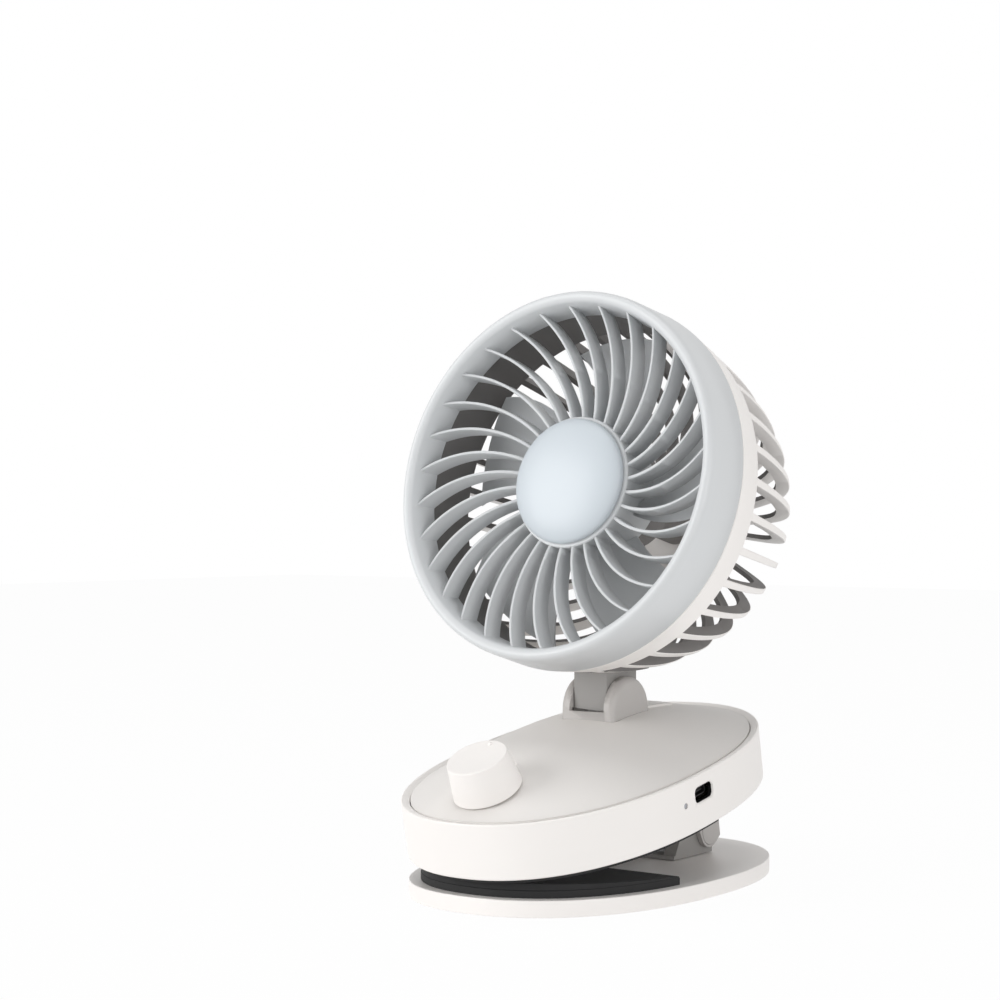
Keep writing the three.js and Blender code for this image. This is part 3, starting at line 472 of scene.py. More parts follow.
def plan(half_width, half_length, corner):
    """A rounded rectangle."""
    points = []
    for x, y, start in ((1, 1, 0), (-1, 1, 90), (-1, -1, 180), (1, -1, 270)):
        points += arc((x * (half_width - corner), y * (half_length - corner)), corner, start, start + 90, 8)
    return points


def pushed(outline, start, end):
    """A (y, z) outline pushed along X."""
    return skin([np.array([(x, y, z) for y, z in outline]) for x in (start, end)])


def upright_block(outline, bottom, top):
    """An (x, y) outline pushed up along Z."""
    return skin([np.array([(x, y, z) for x, y in outline]) for z in (bottom, top)])


def sweep(path, radius, sides):
    """A round tube along a path that mostly runs round X."""
    turns = np.linspace(0, 2 * math.pi, sides, endpoint=False)
    rings = []
    for i, point in enumerate(path):
        along = (path[min(i + 1, len(path) - 1)] - path[max(i - 1, 0)]).normalized()
        side = (Vector((1, 0, 0)) - along * along.x).normalized()
        up = along.cross(side)
        rings.append(np.array([point + side * (radius * math.cos(t)) + up * (radius * math.sin(t))
                               for t in turns]))
    return skin(rings)


def solid(name, shape, place=None):
    """A mesh object at the origin, with its place in its mesh and its faces pointing out."""
    verts, faces = shape
    mesh = bpy.data.meshes.new(name)
    mesh.from_pydata([tuple(v) for v in verts], [], faces)
    sheet = bmesh.new()
    sheet.from_mesh(mesh)
    bmesh.ops.remove_doubles(sheet, verts=sheet.verts, dist=1e-6)
    bmesh.ops.recalc_face_normals(sheet, faces=sheet.faces)
    sheet.to_mesh(mesh)
    sheet.free()
    if place is not None:
        mesh.transform(place)
    obj = bpy.data.objects.new(name, mesh)
    bpy.context.scene.collection.objects.link(obj)
    smooth(mesh)
    return obj


def block(low, high):
    """A plain block for cutting."""
    corners = [(x, y, z) for x in (low[0], high[0]) for y in (low[1], high[1]) for z in (low[2], high[2])]
    faces = [(0, 1, 3, 2), (4, 6, 7, 5), (0, 4, 5, 1), (2, 3, 7, 6), (0, 2, 6, 4), (1, 5, 7, 3)]
    return solid("tool", (corners, faces))


def raised_dot(name, radius, place):
    """A small round dot that stands up along Z."""
    profile = [(-MM, 0), (-MM, radius)]
    profile += [(radius * 0.9 * math.sin(t), radius * math.cos(t)) for t in np.linspace(0, 1.45, 6)]
    return solid(name, turned(profile, 24), place @ TO_Z)


def smooth(mesh):
    mesh.polygons.foreach_set("use_smooth", [True] * len(mesh.polygons))
    mesh.set_sharp_from_angle(angle=SHARP)


def settle(obj):
    """Turns an object's modifiers into its own plain mesh."""
    graph = bpy.context.evaluated_depsgraph_get()
    graph.update()
    mesh = bpy.data.meshes.new_from_object(obj.evaluated_get(graph))
    obj.modifiers.clear()
    obj.data = mesh
    smooth(mesh)


def carve(obj, tool, operation="DIFFERENCE"):
    """Cuts a tool out of an object, or keeps only what both share, and deletes the tool."""
    change = obj.modifiers.new("carve", "BOOLEAN")
    change.operation = operation
    change.solver = "EXACT"
    change.object = tool
    settle(obj)
    bpy.data.objects.remove(tool)


def rounded(obj, width, limit=40):
    """Rounds the edges that turn more than a limit in degrees."""
    bevel = obj.modifiers.new("edge", "BEVEL")
    bevel.width = width
    bevel.segments = 3
    bevel.limit_method = "ANGLE"
    bevel.angle_limit = math.radians(limit)
    settle(obj)


def paint(obj, look):
    obj.data.materials.clear()
    obj.data.materials.append(material(look))


def repaint(obj, look, test):
    """Gives the faces that pass a test a second look."""
    obj.data.materials.append(material(look))
    for face in obj.data.polygons:
        if test(face):
            face.material_index = 1


def seat(obj, look, body, slot, *nodes):
    """Gives a finished piece its look and its body, and hides the nodes that it stands for; its slot is not used."""
    weigh = obj.modifiers.new("flat faces", "WEIGHTED_NORMAL")
    weigh.keep_sharp = True
    settle(obj)
    paint(obj, look)
    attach(obj, body)
    if nodes:
        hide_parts(*nodes)


# ---------------------------------------------------------------- repeats, as Geometry Nodes
def repeat_round(name, pattern, number, phase, look):
    """Repeats a mesh round the Y axis with a node tree, whose result becomes its plain mesh."""
    tree = bpy.data.node_groups.new(name, "GeometryNodeTree")
    nodes = Nodes(tree)
    sockets = {key: tree.interface.new_socket(key, in_out="INPUT", socket_type="NodeSocket" + kind)
               for key, kind in (("Geometry", "Geometry"), ("Copies", "Int"), ("Phase", "Float"),
                                 ("Surface", "Material"))}
    tree.interface.new_socket("Geometry", in_out="OUTPUT", socket_type="NodeSocketGeometry")
    shape, copies, offset, surface = (nodes.add("NodeGroupInput", output=key) for key in sockets)

    turn = nodes.add("GeometryNodeInputIndex") / copies * (-2 * math.pi) + offset
    spin = nodes.add("ShaderNodeCombineXYZ", inputs={"Y": turn})
    rotation = nodes.add("FunctionNodeEulerToRotation", inputs={0: spin})
    points = nodes.add("GeometryNodePoints", inputs={"Count": copies})
    placed = nodes.add("GeometryNodeInstanceOnPoints", inputs={
        "Points": points, "Instance": shape, "Rotation": rotation})
    real = nodes.add("GeometryNodeRealizeInstances", inputs={0: placed})
    painted = nodes.add("GeometryNodeSetMaterial", inputs={"Geometry": real, "Material": surface})
    nodes.add("NodeGroupOutput", inputs={0: painted})

    modifier = pattern.modifiers.new(name, "NODES")
    modifier.node_group = tree
    for key, value in (("Copies", number), ("Phase", phase), ("Surface", material(look))):
        modifier[sockets[key].identifier] = value
    settle(pattern)


# ---------------------------------------------------------------- shared outlines
def housing():
    """The base housing's local frame: its origin is the middle of its underside."""
    base = settings("fan_base")
    along = (0, -UNDERSIDE.z, UNDERSIDE.y)
    return leaning(PIN, along) @ Matrix.Translation((0, -base.ahead, base.above))


def lid_size():
    """Half of the lid's width and of its length."""
    base = settings("fan_base")
    inset = base.rim + base.lid_gap
    return base.half_width - inset, base.half_length - inset


def lid_dome(share):
    """How far the lid rises at a share of the way from its middle to its edge."""
    return settings("fan_base").lid_rise * (1 - share ** LID_FULLNESS) ** LID_SHOULDER


def lid_top():
    return settings("fan_base").height - 0.2 * MM


def cage_curve(samples):
    """(depth, radius) points spread along the cage's outer line, with their directions."""
    head = settings("fan_head")
    turns = np.linspace(0, math.pi / 2, 600)
    depths = head.band_depth + (head.cage_depth - head.band_depth) * np.sin(turns) ** CAGE_SIDE
    radii = head.back_radius + (head.band_radius - head.back_radius) * np.cos(turns) ** CAGE_SHOULDER
    along = np.r_[0, np.cumsum(np.hypot(np.diff(depths), np.diff(radii)))]
    stops = np.linspace(0, along[-1], samples)
    line = np.stack([np.interp(stops, along, depths), np.interp(stops, along, radii)], 1)
    ways = np.gradient(line, axis=0)
    return line, ways / np.linalg.norm(ways, axis=1)[:, None]


def inwards(way):
    """The direction into the cage, square to its line."""
    return np.array([way[1], -way[0]])


# ---------------------------------------------------------------- the lower jaw
class FAN_OT_lower_jaw(bpy.types.Operator):
    """Builds the oval plate that the fan stands on"""

    bl_idname = "clip_fan.lower_jaw"
    bl_label = "Lower jaw plate"

    def execute(self, context):
        clip = settings("fan_clip")
        edge, top = clip.edge, clip.thickness
        profile = arc((edge, edge), edge, -90, -180) + arc((edge, top - edge), edge, 180, 90)
        plate = solid("lower_jaw", skin(ovals(clip, profile)))
        seat(plate, "shell", "lower_jaw", "white_plastic", "lower_jaw_plate")
        return {"FINISHED"}


class FAN_OT_grip_pads(bpy.types.Operator):
    """Builds the two rubber grips"""

    bl_idname = "clip_fan.grip_pads"
    bl_label = "Grip pads"

    def execute(self, context):
        self.lower()
        self.upper()
        return {"FINISHED"}

    def lower(self):
        """The wedge on the plate, cut by the slope that the record's mount gives."""
        clip = settings("fan_clip")
        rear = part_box("lower_grip_pad")[1].y - clip.pad_short
        grip = mount("lower_grip")
        up = Vector(grip["axis"])
        step = clip.thickness + clip.pad_step
        outer, inner, uncut = clip.pad_inset, clip.pad_inset + clip.pad_groove, 20 * MM
        profile = [(outer, clip.thickness - clip.pad_sunk), (outer, step), (inner, step + 0.25 * MM), (inner, uncut)]
        pad = solid("lower_grip", skin(ovals(clip, profile)))
        carve(pad, block((-FAR, rear, -FAR), (FAR, FAR, FAR)))
        above = block((-FAR, -FAR, 0), (FAR, FAR, FAR))
        above.data.transform(leaning(grip["pos_m"], (0, up.z, -up.y)))
        carve(pad, above)
        rounded(pad, 0.5 * MM)
        seat(pad, "rubber", "lower_jaw", "grip_rubber", "lower_grip_pad")

    def upper(self):
        """The thin rubber under the housing, with a rounded lower edge and a core that sits in the housing."""
        base = settings("fan_base")
        edge, core, low = base.pad_inset, base.pad_inset + 2 * MM, -base.pad_thickness
        profile = [(edge + 0.6 * MM, low), (edge + 0.15 * MM, low + 0.15 * MM), (edge, low + 0.5 * MM),
                   (edge, -0.02 * MM), (core, -0.02 * MM), (core, 0.4 * MM)]
        pad = solid("upper_grip", skin(ovals(base, profile)))
        carve(pad, block((-FAR, base.pad_rear, -FAR), (FAR, FAR, FAR)))
        pad.data.transform(housing())
        seat(pad, "rubber", "base", "grip_rubber", "upper_grip_pad")


class FAN_OT_spring(bpy.types.Operator):
    """Winds the closing spring from one wire"""

    bl_idname = "clip_fan.spring"
    bl_label = "Closing spring"

    def execute(self, context):
        clip = settings("fan_clip")
        low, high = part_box("clip_spring")
        pin_low, pin_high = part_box("spring_pin")
        centre = (pin_low + pin_high) / 2
        under = centre.z - clip.coil
        half = -low.x - clip.wire
        steps = 28  # in one turn
        total = int((clip.turns + 0.25) * steps)
        path = [Vector((-half, low.y, under)), Vector((-half, centre.y - 5 * MM, under))]
        for i in range(total + 1):
            turn = -math.pi / 2 + 2 * math.pi * i / steps
            path.append(Vector((-half + 2 * half * i / total, centre.y + clip.coil * math.cos(turn),
                                centre.z + clip.coil * math.sin(turn))))
        end = path[-1]
        back, under_floor = 1.5 * MM, 2.6 * MM  # keep the far end clear of the floor plate as the clip opens
        far = Vector((end.x, high.y - clip.wire - back, high.z - clip.wire - under_floor))
        path += [end.lerp(far, 0.35) + Vector((0, 0, MM)), far]
        wire = solid("closing_spring", sweep(path, clip.wire, 12))
        seat(wire, "steel", "lower_jaw", "steel", "clip_spring")
        return {"FINISHED"}


# ---------------------------------------------------------------- the base housing
class FAN_OT_base_shell(bpy.types.Operator):
    """Builds the side wall with its rounded rim, the port and the lamp hole"""

    bl_idname = "clip_fan.base_shell"
    bl_label = "Base shell"

    def execute(self, context):
        base = settings("fan_base")
        top, foot, rim = base.height, base.foot_round, base.rim
        low = top - base.rim_fall
        clear = 4.2 * MM  # from the port's middle to the even bands above and below it
        profile = arc((foot, foot), foot, -90, -180, 5)
        profile += [(0, base.port_height - clear), (0, base.port_height + clear)]
        profile += arc((base.rim_round, top - base.rim_round), base.rim_round, 180, 90)
        profile += [(rim - 0.3 * MM, low + 0.06 * MM), (rim - 0.05 * MM, low - 0.1 * MM), (rim, low - 0.35 * MM),
                    (rim, top - 5 * MM), (base.wall, top - 6 * MM), (base.wall, 0)]
        shell = solid("base_wall", skin(ovals(base, profile, HOUSING_SIDES), closed=True))
        carve(shell, self.port())
        at = Matrix.Translation((base.half_width, -base.lamp_ahead, base.lamp_height))
        carve(shell, solid("tool", rod(base.lamp_radius, -20 * MM, 20 * MM, 32), at @ TO_X))
        shell.data.transform(housing())
        seat(shell, "shell", "base", "white_plastic", "base_shell")
        self.blacken(shell)
        return {"FINISHED"}

    def port(self):
        """The port's slot through the wall, flared at its mouth."""
        base = settings("fan_base")
        wall, flare = base.half_width, base.port_flare
        rings = []
        for x, grow in ((wall - 27 * MM, 0), (wall - 0.7 * MM, 0), (wall, flare), (wall + 13 * MM, flare)):
            outline = plan(base.port_width / 2 + grow, base.port_opening / 2 + grow, base.port_corner + grow)
            rings.append(np.array([(x, y - base.port_ahead, z + base.port_height) for y, z in outline]))
        return solid("tool", skin(rings))

    def blacken(self, shell):
        """Gives the port's inside walls the socket's black."""
        base = settings("fan_base")
        centre = housing() @ Vector((base.half_width, -base.port_ahead, base.port_height))
        reach = base.port_width * 0.6
        repaint(shell, "port", lambda face: (face.center - centre).length < reach and abs(face.normal.x) < 0.3)


class FAN_OT_lid(bpy.types.Operator):
    """Builds the domed lid with its flat step and its raised mark"""

    bl_idname = "clip_fan.lid"
    bl_label = "Domed lid"

    def execute(self, context):
        self.cover()
        self.step()
        self.mark()
        return {"FINISHED"}

    def cover(self):
        """The lid, with room for the fork and a hole for the knob's shaft."""
        hinge = settings("fan_hinge")
        lid = solid("domed_lid", self.dome(lid_top()), housing())
        gap = 0.3 * MM
        room = plan(hinge.yoke_width / 2 + gap, hinge.yoke_radius + gap, hinge.yoke_round + gap)
        carve(lid, solid("tool", upright_block(room, -14 * MM, 8 * MM), YOKE))
        carve(lid, solid("tool", rod(3 * MM, -20 * MM, 20 * MM, 48), KNOB @ TO_Z))
        seat(lid, "lid", "base", "lid_plastic", "top_cover")

    def step(self):
        """The flat step behind the fork, which follows the dome."""
        base = settings("fan_base")
        step = solid("lid_step", self.dome(lid_top() + base.step_rise))
        axle = (housing().inverted() @ TILT).y
        middle = axle + settings("fan_hinge").yoke_radius + base.step_behind + base.step_length / 2
        outline = [(x, y + middle) for x, y in plan(base.step_width / 2, base.step_length / 2, MM)]
        carve(step, solid("tool", upright_block(outline, 0, 60 * MM)), "INTERSECT")
        rounded(step, 0.35 * MM)
        step.data.transform(housing())
        seat(step, "lid", "base", "lid_plastic", "top_cover")

    def dome(self, top):
        """The lid's solid: the dome, its rounded edge, a skirt and the dome's underside."""
        across, along = lid_size()
        edge, skirt, thickness = 0.5 * MM, 2 * MM, 2.2 * MM
        places = [(share, share, top + lid_dome(share))
                  for share in np.sin(np.linspace(0.02, math.pi / 2, 30))[:-1]]
        places += [(1 - (edge - inset) / across, 1 - (edge - inset) / along, top - edge + up)
                   for inset, up in arc((0, 0), edge, 80, 0, 5)]
        places += [(1, 1, top - skirt), (0.9, 0.9, top - skirt)]
        places += [(share, share, top - thickness + lid_dome(share)) for share in (0.8, 0.5, 0.2, 0.02)]
        return skin([oval(across * wide, along * long, z, HOUSING_SIDES) for wide, long, z in places])

    def mark(self):
        """The small raised dot that the knob's pointer is read against."""
        base = settings("fan_base")
        at = -base.knob_ahead + base.knob_foot + 4.2 * MM
        height = lid_top() + lid_dome(abs(at) / lid_size()[1])
        dot = raised_dot("lid_mark", 0.95 * MM, housing() @ Matrix.Translation((0, at, height)))
        seat(dot, "shell", "base", "lid_plastic")


class FAN_OT_knob(bpy.types.Operator):
    """Builds the speed knob with its raised pointer"""

    bl_idname = "clip_fan.knob"
    bl_label = "Speed knob"

    def execute(self, context):
        base = settings("fan_base")
        gap, edge, bore = 0.3 * MM, 0.55 * MM, 3 * MM
        foot, top, height = base.knob_foot, base.knob_top, base.knob_height + gap
        profile = [(gap, 0), (gap, foot - 0.3 * MM), (gap + 0.3 * MM, foot)]
        profile += [(height - edge + edge * math.sin(t), top - edge + edge * math.cos(t))
                    for t in np.linspace(0.1, math.pi / 2, 7)]
        profile += [(height - 0.25 * MM, top * 0.5), (height - 0.35 * MM, 0.2 * MM), (height - 0.35 * MM, 0)]
        knob = solid("knob", turned(profile, 160), KNOB @ TO_Z)
        carve(knob, solid("tool", rod(bore, -10 * MM, height - 3 * MM, 48), KNOB @ TO_Z))
        seat(knob, "shell", "knob", "white_plastic", "speed_knob")
        at = Matrix.Translation((0, top - 2.6 * MM, height - 0.2 * MM))
        seat(raised_dot("knob_pointer", 0.85 * MM, KNOB @ at), "shell", "knob", "white_plastic")
        return {"FINISHED"}


# ---------------------------------------------------------------- the tilting hinge
class FAN_OT_yoke(bpy.types.Operator):
    """Builds the upright fork with its rounded arch and ears"""

    bl_idname = "clip_fan.yoke"
    bl_label = "Tilt yoke"

    def execute(self, context):
        hinge = settings("fan_hinge")
        radius, half, slot = hinge.yoke_radius, hinge.yoke_width / 2, hinge.slot / 2
        outline = arc((0, -hinge.yoke_drop), radius, 0, 180, 40)
        outline += [(-radius, -hinge.yoke_foot), (radius, -hinge.yoke_foot)]
        fork = solid("fork", pushed(outline, -half, half))
        self.round_arch(fork, hinge.yoke_round)
        carve(fork, block((-slot, -FAR, hinge.front_wall), (slot, 0, FAR)))
        carve(fork, block((-slot, -0.1 * MM, hinge.back_wall), (slot, FAR, FAR)))
        carve(fork, solid("tool", rod(hinge.pocket, -slot, slot, 64), TO_X))
        rounded(fork, hinge.edge * 0.7, 55)
        fork.data.transform(YOKE)
        seat(fork, "fork", "base", "hinge_plastic", "tilt_yoke")
        return {"FINISHED"}

    def round_arch(self, fork, width):
        """Rounds the arch in full and the upright edges a little less."""
        weights = fork.data.attributes.new("bevel_weight_edge", "FLOAT", "EDGE")
        for edge, weight in zip(fork.data.edges, weights.data):
            first, second = (fork.data.vertices[i].co for i in edge.vertices)
            across = abs(first.x - second.x) > MM
            on_arch = min(first.z, second.z) > -2 * MM
            upright = abs(first.z - second.z) > 5 * MM
            weight.value = 0.0 if across else 1.0 if on_arch else 0.8 if upright else 0.0
        bevel = fork.modifiers.new("arch", "BEVEL")
        bevel.width = width
        bevel.segments = 6
        bevel.limit_method = "WEIGHT"
        settle(fork)


class FAN_OT_neck(bpy.types.Operator):
    """Builds the neck, which stands upright while the head leans back"""

    bl_idname = "clip_fan.neck"
    bl_label = "Tilt neck"

    def execute(self, context):
        hinge = settings("fan_hinge")
        low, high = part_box("tilt_neck")
        half, top = hinge.barrel, hinge.neck_height
        outline = [(half, 0), (half, top), (-half, top), (-half, 0)]
        outline += arc((0, 0), half, 180, 360, 40)[1:-1]
        neck = solid("neck", pushed(outline, low.x, high.x))
        rounded(neck, hinge.edge, 60)
        neck.data.transform(YOKE)
        # the neck takes the darker grey as painted shade from the head
        seat(neck, "hinge", "head", "hinge_plastic", "tilt_neck")
        return {"FINISHED"}


# ---------------------------------------------------------------- the fan head
class FAN_OT_front_ring(bpy.types.Operator):
    """Turns the front ring and the collar that carries the vanes"""

    bl_idname = "clip_fan.front_ring"
    bl_label = "Front ring"

    def execute(self, context):
        head = settings("fan_head")
        self.ring(head)
        self.collar(head)
        return {"FINISHED"}

    def ring(self, head):
        """The rounded lip, the outer wall back to the seam and the inner wall that funnels the air."""
        lip, seam, funnel, wall = head.lip_radius, head.seam_radius, head.funnel_radius, 2.2 * MM
        profile = [(1.9 * MM, lip - 2.6 * MM), (0.9 * MM, lip - 1.9 * MM), (0.3 * MM, lip - 1.1 * MM), (0, lip),
                   (0.25 * MM, lip + 0.8 * MM), (0.9 * MM, lip + 1.5 * MM), (2.0 * MM, lip + 1.95 * MM),
                   (3.6 * MM, lip + 2.2 * MM), (head.seam_depth - 0.4 * MM, seam),
                   (head.seam_depth, seam - 0.3 * MM), (head.seam_depth, seam - wall), (6.5 * MM, lip - 0.4 * MM),
                   (head.funnel_depth, funnel + 1.8 * MM), (head.funnel_depth, funnel + 0.3 * MM),
                   (head.funnel_depth - 0.4 * MM, funnel), (4.5 * MM, funnel + 1.1 * MM)]
        seat(solid("front_ring", turned(profile, 256), FAN), "ring", "head", "grille_plastic", "front_grille")

    def collar(self, head):
        """The shallow cup behind the cap, which the vanes start from."""
        hub, front, back, wall = head.hub_radius, head.hub_depth, head.hub_depth + 10.5 * MM, 2 * MM
        profile = [(front, 0), (front, hub - 0.8 * MM), (front + 0.25 * MM, hub - 0.25 * MM),
                   (front + 0.8 * MM, hub), (back, hub), (back, hub - wall), (front + wall, hub - wall),
                   (front + wall, 0)]
        seat(solid("vane_collar", turned(profile, 128), FAN), "ring", "head", "grille_plastic", "front_grille")


class FAN_OT_vanes(bpy.types.Operator):
    """Sweeps one vane and repeats it round the hub"""

    bl_idname = "clip_fan.vanes"
    bl_label = "Front vanes"

    def execute(self, context):
        head = settings("fan_head")
        inner, outer = head.hub_radius - MM, head.funnel_radius + 1.2 * MM
        tip_depth = head.funnel_depth - 0.5 * MM - head.vane_tip  # the vane ends ahead of the funnel's edge
        half = head.vane_thickness / 2
        edge = half * 0.85
        rings = []
        for share in np.linspace(0, 1, 22):
            radius = inner + (outer - inner) * share
            turn = head.vane_sweep * share ** 1.5
            front = head.vane_root + (head.vane_tip - head.vane_root) * share
            back = front + head.vane_depth + (tip_depth - head.vane_depth) * share ** 3
            nose = [(-half, front + edge), (-half * 0.72, front + edge * 0.3), (0, front),
                    (half * 0.72, front + edge * 0.3), (half, front + edge)]
            tail = [(half * 1.1, back - 0.2 * MM), (half * 0.8, back), (-half * 0.8, back),
                    (-half * 1.1, back - 0.2 * MM)]
            rings.append(np.array([(radius * math.cos(turn + side / radius), depth,
                                    radius * math.sin(turn + side / radius)) for side, depth in nose + tail]))
        vane = solid("vanes", skin(rings))
        repeat_round("vane ring", vane, head.vanes, -head.vane_phase, "ring")
        vane.data.transform(FAN)
        seat(vane, "ring", "head", "grille_plastic", "front_grille")
        return {"FINISHED"}


class FAN_OT_hub_cap(bpy.types.Operator):
    """Turns the polished cap"""

    bl_idname = "clip_fan.hub_cap"
    bl_label = "Hub cap"

    def execute(self, context):
        head = settings("fan_head")
        radius, back = head.cap_radius, head.hub_depth - 0.3 * MM
        rim = back - 0.8 * MM
        crown = rim - head.cap_rise
        profile = [(back, 0), (back, radius - 0.2 * MM)]
        for t in np.linspace(0, math.pi / 2, 28)[:-1]:
            share = math.cos(t)
            profile.append((rim - head.cap_rise * math.sqrt(1 - share ** 2.2), radius * share))
        profile += [(crown, 0.1 * MM), (crown, 0)]
        seat(solid("cap", turned(profile, 160), FAN), "cap", "head", "cap_plastic", "hub_cap")
        return {"FINISHED"}


class FAN_OT_rear_housing(bpy.types.Operator):
    """Turns the rear band and hub, and repeats one bent rib round them"""

    bl_idname = "clip_fan.rear_housing"
    bl_label = "Rear housing"

    def execute(self, context):
        head = settings("fan_head")
        self.band(head)
        self.ribs(head)
        self.rear_hub(head)
        self.pod(head)
        self.saddle(head)
        return {"FINISHED"}

    def band(self, head):
        """The band behind the seam, with the spigot that goes into the front ring."""
        seam, spigot, spigot_front = head.seam_radius, head.seam_radius - 2.5 * MM, 16 * MM
        start, end = head.seam_depth + 0.3 * MM, head.band_depth + 1.4 * MM
        flange = head.band_radius - head.rib_depth - 0.4 * MM
        profile = [(start, spigot), (start, seam - 0.4 * MM), (start + 0.35 * MM, seam - 0.1 * MM),
                   (end - 0.4 * MM, head.band_radius), (end, head.band_radius - 0.3 * MM), (end, flange),
                   (head.band_depth, flange), (spigot_front, spigot - 1.8 * MM), (spigot_front, spigot - 0.4 * MM)]
        band = solid("rear_band", turned(profile, 256), FAN)
        seat(band, "shell", "head", "white_plastic", "rear_housing")
        self.paint_cage_shade(band)

    def paint_cage_shade(self, obj):
        """Gives painted shade, the dark inner grey, to the faces that look inwards into the cage and to those that
        look sideways or up, where shade falls; faces turned down stay white.
        """
        middle = FAN @ Vector((0, 50 * MM, 0))

        def gets_painted_shade(face):
            outwards = face.normal.dot((face.center - middle).normalized())
            # painted shade: faces that look inwards, and side faces that do not face down
            return outwards < -0.5 or (outwards < 0.35 and face.normal.z > -0.2)

        repaint(obj, "inside", gets_painted_shade)

    def ribs(self, head):
        """One fin bent along the cage's line, repeated."""
        steps = 48
        rings = []
        for share, at, way in zip(np.linspace(0, 1, steps), *cage_curve(steps)):
            deep = head.rib_depth + (head.rib_end_depth - head.rib_depth) * share ** 3
            half = (head.rib_width + (head.rib_end - head.rib_width) * share) / 2
            inside, shoulder = at + inwards(way) * deep, at + inwards(way) * deep * 0.06
            rings.append(np.array([(point[1], point[0], side * half) for point, side in (
                (at, -0.84), (at, 0.84), (shoulder, 1.0), (inside, 0.8), (inside, -0.8), (shoulder, -1.0))]))
        rib = solid("cage_ribs", skin(rings))
        repeat_round("rib ring", rib, head.ribs, -head.rib_phase, "shell")
        rib.data.transform(FAN)
        seat(rib, "shell", "head", "white_plastic", "rear_housing")
        self.paint_cage_shade(rib)

    def rear_hub(self, head):
        """The cap at the cage's back, which the fins end in."""
        depth, radius, inner = head.cage_depth, head.back_radius, head.back_radius - 3 * MM
        front, rim, back = self.hub_front(head), depth - head.rib_end_depth, depth + 0.8 * MM
        profile = [(front, 0), (front, inner), (rim, inner), (rim, radius), (depth, radius),
                   (depth + 0.5 * MM, radius - 0.4 * MM), (back, radius - 1.2 * MM), (back, 0.1 * MM), (back, 0)]
        seat(solid("rear_hub", turned(profile, 128), FAN), "shell", "head", "white_plastic", "rear_housing")

    def hub_front(self, head):
        return head.cage_depth - 3.6 * MM

    def pod(self, head):
        """The cup that holds the motor, on its stem."""
        low, high, end = head.pod_front, head.pod_back, self.hub_front(head)
        radius, inner, stem, bore = head.pod_radius, head.pod_radius - head.pod_wall, head.stem_radius, head.stem_bore
        floor = high - 2 * MM
        profile = [(low, inner), (low, radius), (high, radius), (high + 3 * MM, stem), (end, stem),
                   (end, bore), (floor, bore), (floor, inner)]
        # the motor's cup wears the inner grey as painted shade
        seat(solid("motor_pod", turned(profile, 96), FAN), "inside", "head", "white_plastic", "rear_housing")

    def saddle(self, head):
        """The part of the cage that is closed where the neck meets it."""
        line, ways = cage_curve(40)
        inner = [at + inwards(way) * head.rib_depth for at, way in zip(line, ways)]
        saddle = solid("neck_saddle", turned([tuple(point) for point in [*line, *inner[::-1]]], 200))
        middle, half_length, half_width = self.neck_meets_cage(), 13.7 * MM, 10.8 * MM
        keep = block((-half_width, middle - half_length, -90 * MM), (half_width, middle + half_length, -40 * MM))
        carve(saddle, keep, "INTERSECT")
        saddle.data.transform(FAN)
        seat(saddle, "shell", "head", "white_plastic", "rear_housing")
        self.paint_cage_shade(saddle)

    def neck_meets_cage(self):
        """Where the neck runs into the cage, as a depth behind the lip."""
        return (FAN.inverted() @ (TILT + Vector((0, 0, 12.5 * MM)))).y


class FAN_OT_impeller(bpy.types.Operator):
    """Sweeps one blade and repeats it round the impeller's hub"""

    bl_idname = "clip_fan.impeller"
    bl_label = "Impeller"

    def execute(self, context):
        head = settings("fan_head")
        blade = solid("blades", skin([self.section(head, share) for share in np.linspace(0, 1, 18)]))
        repeat_round("blade ring", blade, head.blades, 0.0, "ring")
        blade.data.transform(FAN)
        seat(blade, "ring", "rotor", "blade_plastic", "impeller")
        self.hub(head)
        return {"FINISHED"}

    def hub(self, head):
        """The cup that carries the blades and goes over the motor."""
        front, back, hub = head.blade_front, head.blade_front + head.blade_depth, head.blade_hub
        edge, wall, plate = 3 * MM, 2 * MM, 4 * MM
        profile = [(front, 0), (front, hub - edge)]
        profile += [(front + edge - edge * math.cos(t), hub - edge + edge * math.sin(t))
                    for t in np.linspace(0.2, math.pi / 2, 6)]
        profile += [(back, hub), (back, hub - wall), (front + plate, hub - wall), (front + plate, 0)]
        seat(solid("blade_hub", turned(profile, 96), FAN), "ring", "rotor", "blade_plastic", "impeller")

    def section(self, head, share):
        """A blade's cross section on its way from the hub to the tip, once down one side and back up the other."""
        root = head.blade_hub - MM
        radius = root + (head.blade_radius - root) * share
        middle = head.blade_turn * 0.35 * share ** 1.6
        half_turn = head.blade_turn * 0.5 * (1 - 0.2 * share)
        half_depth = (head.blade_depth / 2 - MM) * (1 - 0.25 * share)
        ring = []
        for side in (1, -1):
            for place in np.linspace(-side, side, 12):
                bearing = middle + place * half_turn
                camber = 1.6 * MM * (1 - place * place)
                thick = 0.8 * MM * (1 - 0.55 * abs(place) ** 3)
                depth = head.blade_front + head.blade_depth / 2 + place * half_depth + camber + side * thick
                ring.append((radius * math.cos(bearing), depth, radius * math.sin(bearing)))
        return np.array(ring)


